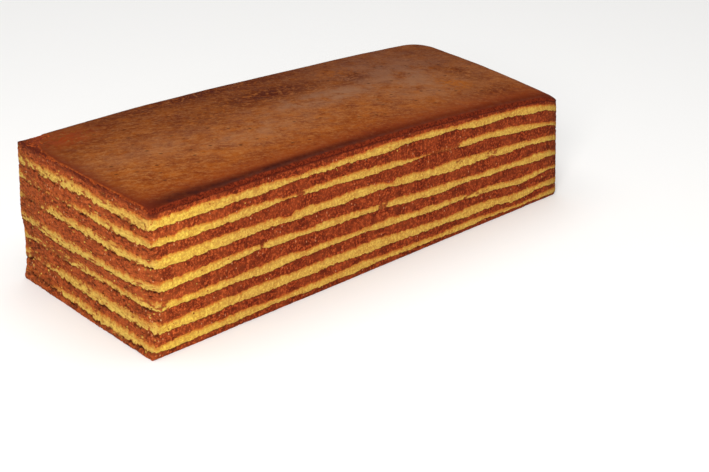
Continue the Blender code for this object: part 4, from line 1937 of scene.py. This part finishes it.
@dataclass(frozen=True)
class CrustFinish:
    """Colours, patterns and gloss of the browned crust."""

    brown: Colour = seen(163, 86, 24)
    deep_brown: Colour = seen(122, 52, 12)
    wisp: Colour = seen(186, 122, 66)
    speck: Colour = seen(70, 34, 14)
    dark: Colour = seen(80, 27, 9)
    red: Colour = seen(142, 54, 16)
    orange: Colour = seen(164, 90, 28)
    # Painted sheen: the pale greyish crust where soft light reflects off it.
    pale: Colour = seen(166, 116, 80)
    front: Colour = seen(126, 42, 10)
    # Painted shade on the rolled front rim.
    painted_rim_shade: Colour = seen(60, 20, 11)
    # Painted grey-blue sheen on the front rim.
    tint: Colour = seen(92, 62, 54)
    edge: Colour = seen(106, 36, 16)
    # Painted grey-blue sheen on the back rim.
    painted_back_rim_sheen: Colour = seen(108, 86, 80)
    bare: tuple[Colour, Colour] = (seen(80, 25, 12), seen(134, 50, 24))
    torn: tuple[Colour, Colour] = (seen(112, 40, 16), seen(186, 86, 38))
    # Painted shade: the crust darker and greyer-blue towards the back and the tin end.
    far: Colour = (0.62, 0.60, 0.76)
    painted_far_shade_share: float = 0.8
    tones: tuple[Grain, Grain] = (Grain(4.2, 5.0, 0.75, 0.0, WISP_STRETCH, WISP_TURN), Grain(7.0, 6.0, 0.8))
    tone_ramp: Ramp = Ramp(0.42, 0.58)
    wisps: tuple[Grain, Grain] = (Grain(1.5, 4.0, 0.75, 0.0, WISP_STRETCH, WISP_TURN), Grain(1.2, 4.0, 0.75))
    wisp_ramp: Ramp = Ramp(0.47, 0.62, 0.0, 0.65)
    cloud: Grain = Grain(11.0, 4.0, 0.7, 0.4)
    cloud_ramp: Ramp = Ramp(0.32, 0.56)
    mottle: Grain = Grain(3.2, 3.0, 0.6, 1.2)
    mottle_ramp: Ramp = Ramp(0.44, 0.56)
    worms: Grain = Grain(3.2, 4.0, 0.7, 2.0)
    worm_ramp: Ramp = Ramp(0.42, 0.53)
    specks: Grain = Grain(2.2, stretch=(0.6, 1.0, 1.0), turn=WISP_TURN)
    speck_ramp: Ramp = Ramp(0.10, 0.28, 0.85, 0.0)
    speck_limit: float = 0.84
    band_ramp: Ramp = Ramp(0.36, 0.56, 0.6, 1.0)
    rim_mottle: Grain = Grain(2.4)
    rim_sheen_ramp: Ramp = Ramp(0.4, 0.6, 0.1, 0.25)
    rear_ramp: Ramp = Ramp(0.4, 0.6, 0.1, 0.5)
    crumb: Grain = Grain(0.9, 3.0, 0.7)
    crumb_ramp: Ramp = Ramp(0.40, 0.60)
    bump_coarse: Grain = Grain(0.8, 4.0, 0.6, 0.0, WISP_STRETCH, WISP_TURN)
    bump_fine: Grain = Grain(4.0)
    bump_fine_share: float = 0.8
    bump_depth: float = 0.12
    gloss: Grain = Grain(5.0, 3.0)
    gloss_ramp: Ramp = Ramp(0.35, 0.65, 0.5, 0.66)
    torn_roughness: float = 0.85
    specular: float = 0.025

    def material(self) -> bpy.types.Material:
        """Build the crust: wisps and specks, patches with painted sheen among them, painted shade towards the
        back and the tin end, the dark front rim of painted shade, painted sheen on the rims, and the torn
        corner.

        Returns:
            The material.
        """
        painter = NodePainter("crust_finish")
        tone = painter.between(0.5, *(painter.noise(grain) for grain in self.tones))
        fine = painter.between(0.5, *(painter.noise(grain) for grain in self.wisps))
        cloud, mottle, worms, crumb = (
            painter.remap(painter.noise(grain), ramp)
            for grain, ramp in ((self.cloud, self.cloud_ramp), (self.mottle, self.mottle_ramp),
                                (self.worms, self.worm_ramp), (self.crumb, self.crumb_ramp)))
        colour = painter.mix(painter.remap(tone, self.tone_ramp), self.deep_brown, self.brown)
        colour = painter.mix(painter.remap(fine, self.wisp_ramp), colour, self.wisp)
        # Painted sheen in the pale patches.
        colour = painter.lay("pale", cloud, colour, self.pale)
        # Painted shade towards the back and the tin end.
        colour = painter.tinted(painter.times(painter.value("far"), self.painted_far_shade_share), colour, self.far)
        for name, pattern, over in (("orange", mottle, self.orange), ("dark", worms, self.dark),
                                    ("red", worms, self.red)):
            colour = painter.lay(name, pattern, colour, over)
        distance, chance = painter.cells(self.specks)
        speck = painter.times(painter.remap(distance, self.speck_ramp),
                              painter.math("GREATER_THAN", chance, self.speck_limit))
        colour = painter.mix(speck, colour, self.speck)
        uneven = painter.remap(tone, self.band_ramp)
        rim = painter.noise(self.rim_mottle)
        # Bands: darker and redder towards the front, painted shade on the rolled front rim, the cut end's
        # edge, and painted sheen on the front and back rims.
        for name, pattern, over in (("front", uneven, self.front), ("painted_rim_shade", uneven, self.painted_rim_shade),
                                    ("edge", uneven, self.edge),
                                    ("tint", painter.remap(rim, self.rim_sheen_ramp), self.tint),
                                    ("painted_back_rim_sheen", painter.remap(rim, self.rear_ramp), self.painted_back_rim_sheen)):
            colour = painter.lay(name, pattern, colour, over)
        for name, shades in (("bare", self.bare), ("torn", self.torn)):
            colour = painter.mix(painter.value(name), colour, painter.mix(crumb, *shades))
        painter.bump(self.bump_coarse, self.bump_fine, self.bump_fine_share, self.bump_depth)
        rough = painter.remap(painter.noise(self.gloss), self.gloss_ramp)
        rough = painter.math("MAXIMUM", rough, painter.times(painter.value("torn"), self.torn_roughness))
        return painter.finish(colour, rough, self.specular)


@dataclass(frozen=True)
class SoftLight:
    """A square soft light, with its places in metres."""

    name: str
    at: tuple[float, float, float]
    aim: tuple[float, float, float]
    size: float
    power: float
    colour: Colour

    def hang(self) -> None:
        """Hang the light at its place, turned to its aim: a tilt from straight down, then a turn."""
        lamp = bpy.data.lights.new(self.name, "AREA")
        lamp.size = self.size
        lamp.energy = self.power
        lamp.color = self.colour
        light = bpy.data.objects.new(self.name, lamp)
        bpy.context.scene.collection.objects.link(light)
        light.location = self.at
        away = np.array(self.at) - np.array(self.aim)
        flat = math.hypot(away[0], away[1])
        light.rotation_euler = (math.atan2(flat, away[2]), 0.0, math.atan2(away[0], -away[1]))


LIGHTS = (
    SoftLight("key", (-0.60, -0.50, 0.42), (-0.04, 0.0, 0.03), 0.30, 5.4, (1.0, 0.98, 0.95)),
    SoftLight("overhead", (0.0, 0.0, 1.7), (0.0, 0.0, 0.0), 2.4, 30.0, (1.0, 1.0, 1.0)),
    SoftLight("sheen", (0.55, 0.80, 0.55), (0.0, 0.0, 0.05), 0.5, 0.3, (0.95, 0.97, 1.0)),
)


@dataclass
class Studio:
    """The plain setting: floor, soft lights and the camera."""

    lens: float = 65.5
    sensor: float = 36.0
    camera_at: tuple[float, float, float] = (-0.31045, -0.36615, 0.2239)
    camera_turn: tuple[float, float, float] = (64.79, 0.0, -42.49)
    clip_start: float = 0.01
    floor_reach: float = 4.0
    floor_drop: float = 0.00005
    floor_colour: Colour = (0.90, 0.895, 0.885)
    floor_roughness: float = 0.9
    floor_specular: float = 0.1
    world_strength: float = 0.22

    def add_floor(self) -> None:
        """Make the pale floor just under the loaf."""
        corners = np.array(((-1.0, -1.0), (1.0, -1.0), (1.0, 1.0), (-1.0, 1.0))) * self.floor_reach
        points = np.column_stack((corners, np.full(len(corners), -self.floor_drop)))
        mesh = make_mesh("floor", points, np.array(((0, 1, 2, 3),)), np.zeros((0, 3), dtype=int))
        painter = NodePainter("floor_finish")
        mesh.materials.append(painter.finish(self.floor_colour, self.floor_roughness, self.floor_specular))
        floor = bpy.data.objects.new("floor", mesh)
        bpy.context.scene.collection.objects.link(floor)

    def add_world(self) -> None:
        """Surround the scene with even white light."""
        world = bpy.data.worlds.new("studio")
        world.use_nodes = True
        background = world.node_tree.nodes["Background"]
        background.inputs["Color"].default_value = (1.0, 1.0, 1.0, 1.0)
        background.inputs["Strength"].default_value = self.world_strength
        bpy.context.scene.world = world

    def add_camera(self) -> None:
        """Set the camera at the photograph's angle."""
        data = bpy.data.cameras.new("camera")
        data.lens = self.lens
        data.sensor_width = self.sensor
        data.clip_start = self.clip_start
        camera = bpy.data.objects.new("camera", data)
        bpy.context.scene.collection.objects.link(camera)
        camera.location = self.camera_at
        camera.rotation_euler = [math.radians(angle) for angle in self.camera_turn]
        bpy.context.scene.camera = camera

    def build(self) -> None:
        """Set the camera, floor and lights up, and show plain colours."""
        self.add_camera()
        self.add_floor()
        self.add_world()
        for light in LIGHTS:
            light.hang()
        view = bpy.context.scene.view_settings
        view.view_transform = "Standard"
        view.look = "None"


def main() -> None:
    """Build every piece in order: the studio, the layers, the crust and the loose crumbs."""
    logging.basicConfig(level=logging.INFO, format="%(name)s: %(message)s")
    Studio().build()
    finishes = {Crumb.RED: RED_FINISH, Crumb.YELLOW: YELLOW_FINISH}
    materials = {crumb: finish.material() for crumb, finish in finishes.items()}
    for order, plan in enumerate(LAYERS):
        show_piece(CutLayer(order).build(), materials[plan.crumb], finishes[plan.crumb].slot, plan.node)
    show_piece(Crust().build(), CrustFinish().material(), "crust", LAYERS[-1].node)
    for crumb, crumbs in CLINGING.items():
        show_piece(crumbs.build(), materials[crumb], finishes[crumb].slot)


if __name__ == "__main__":
    main()
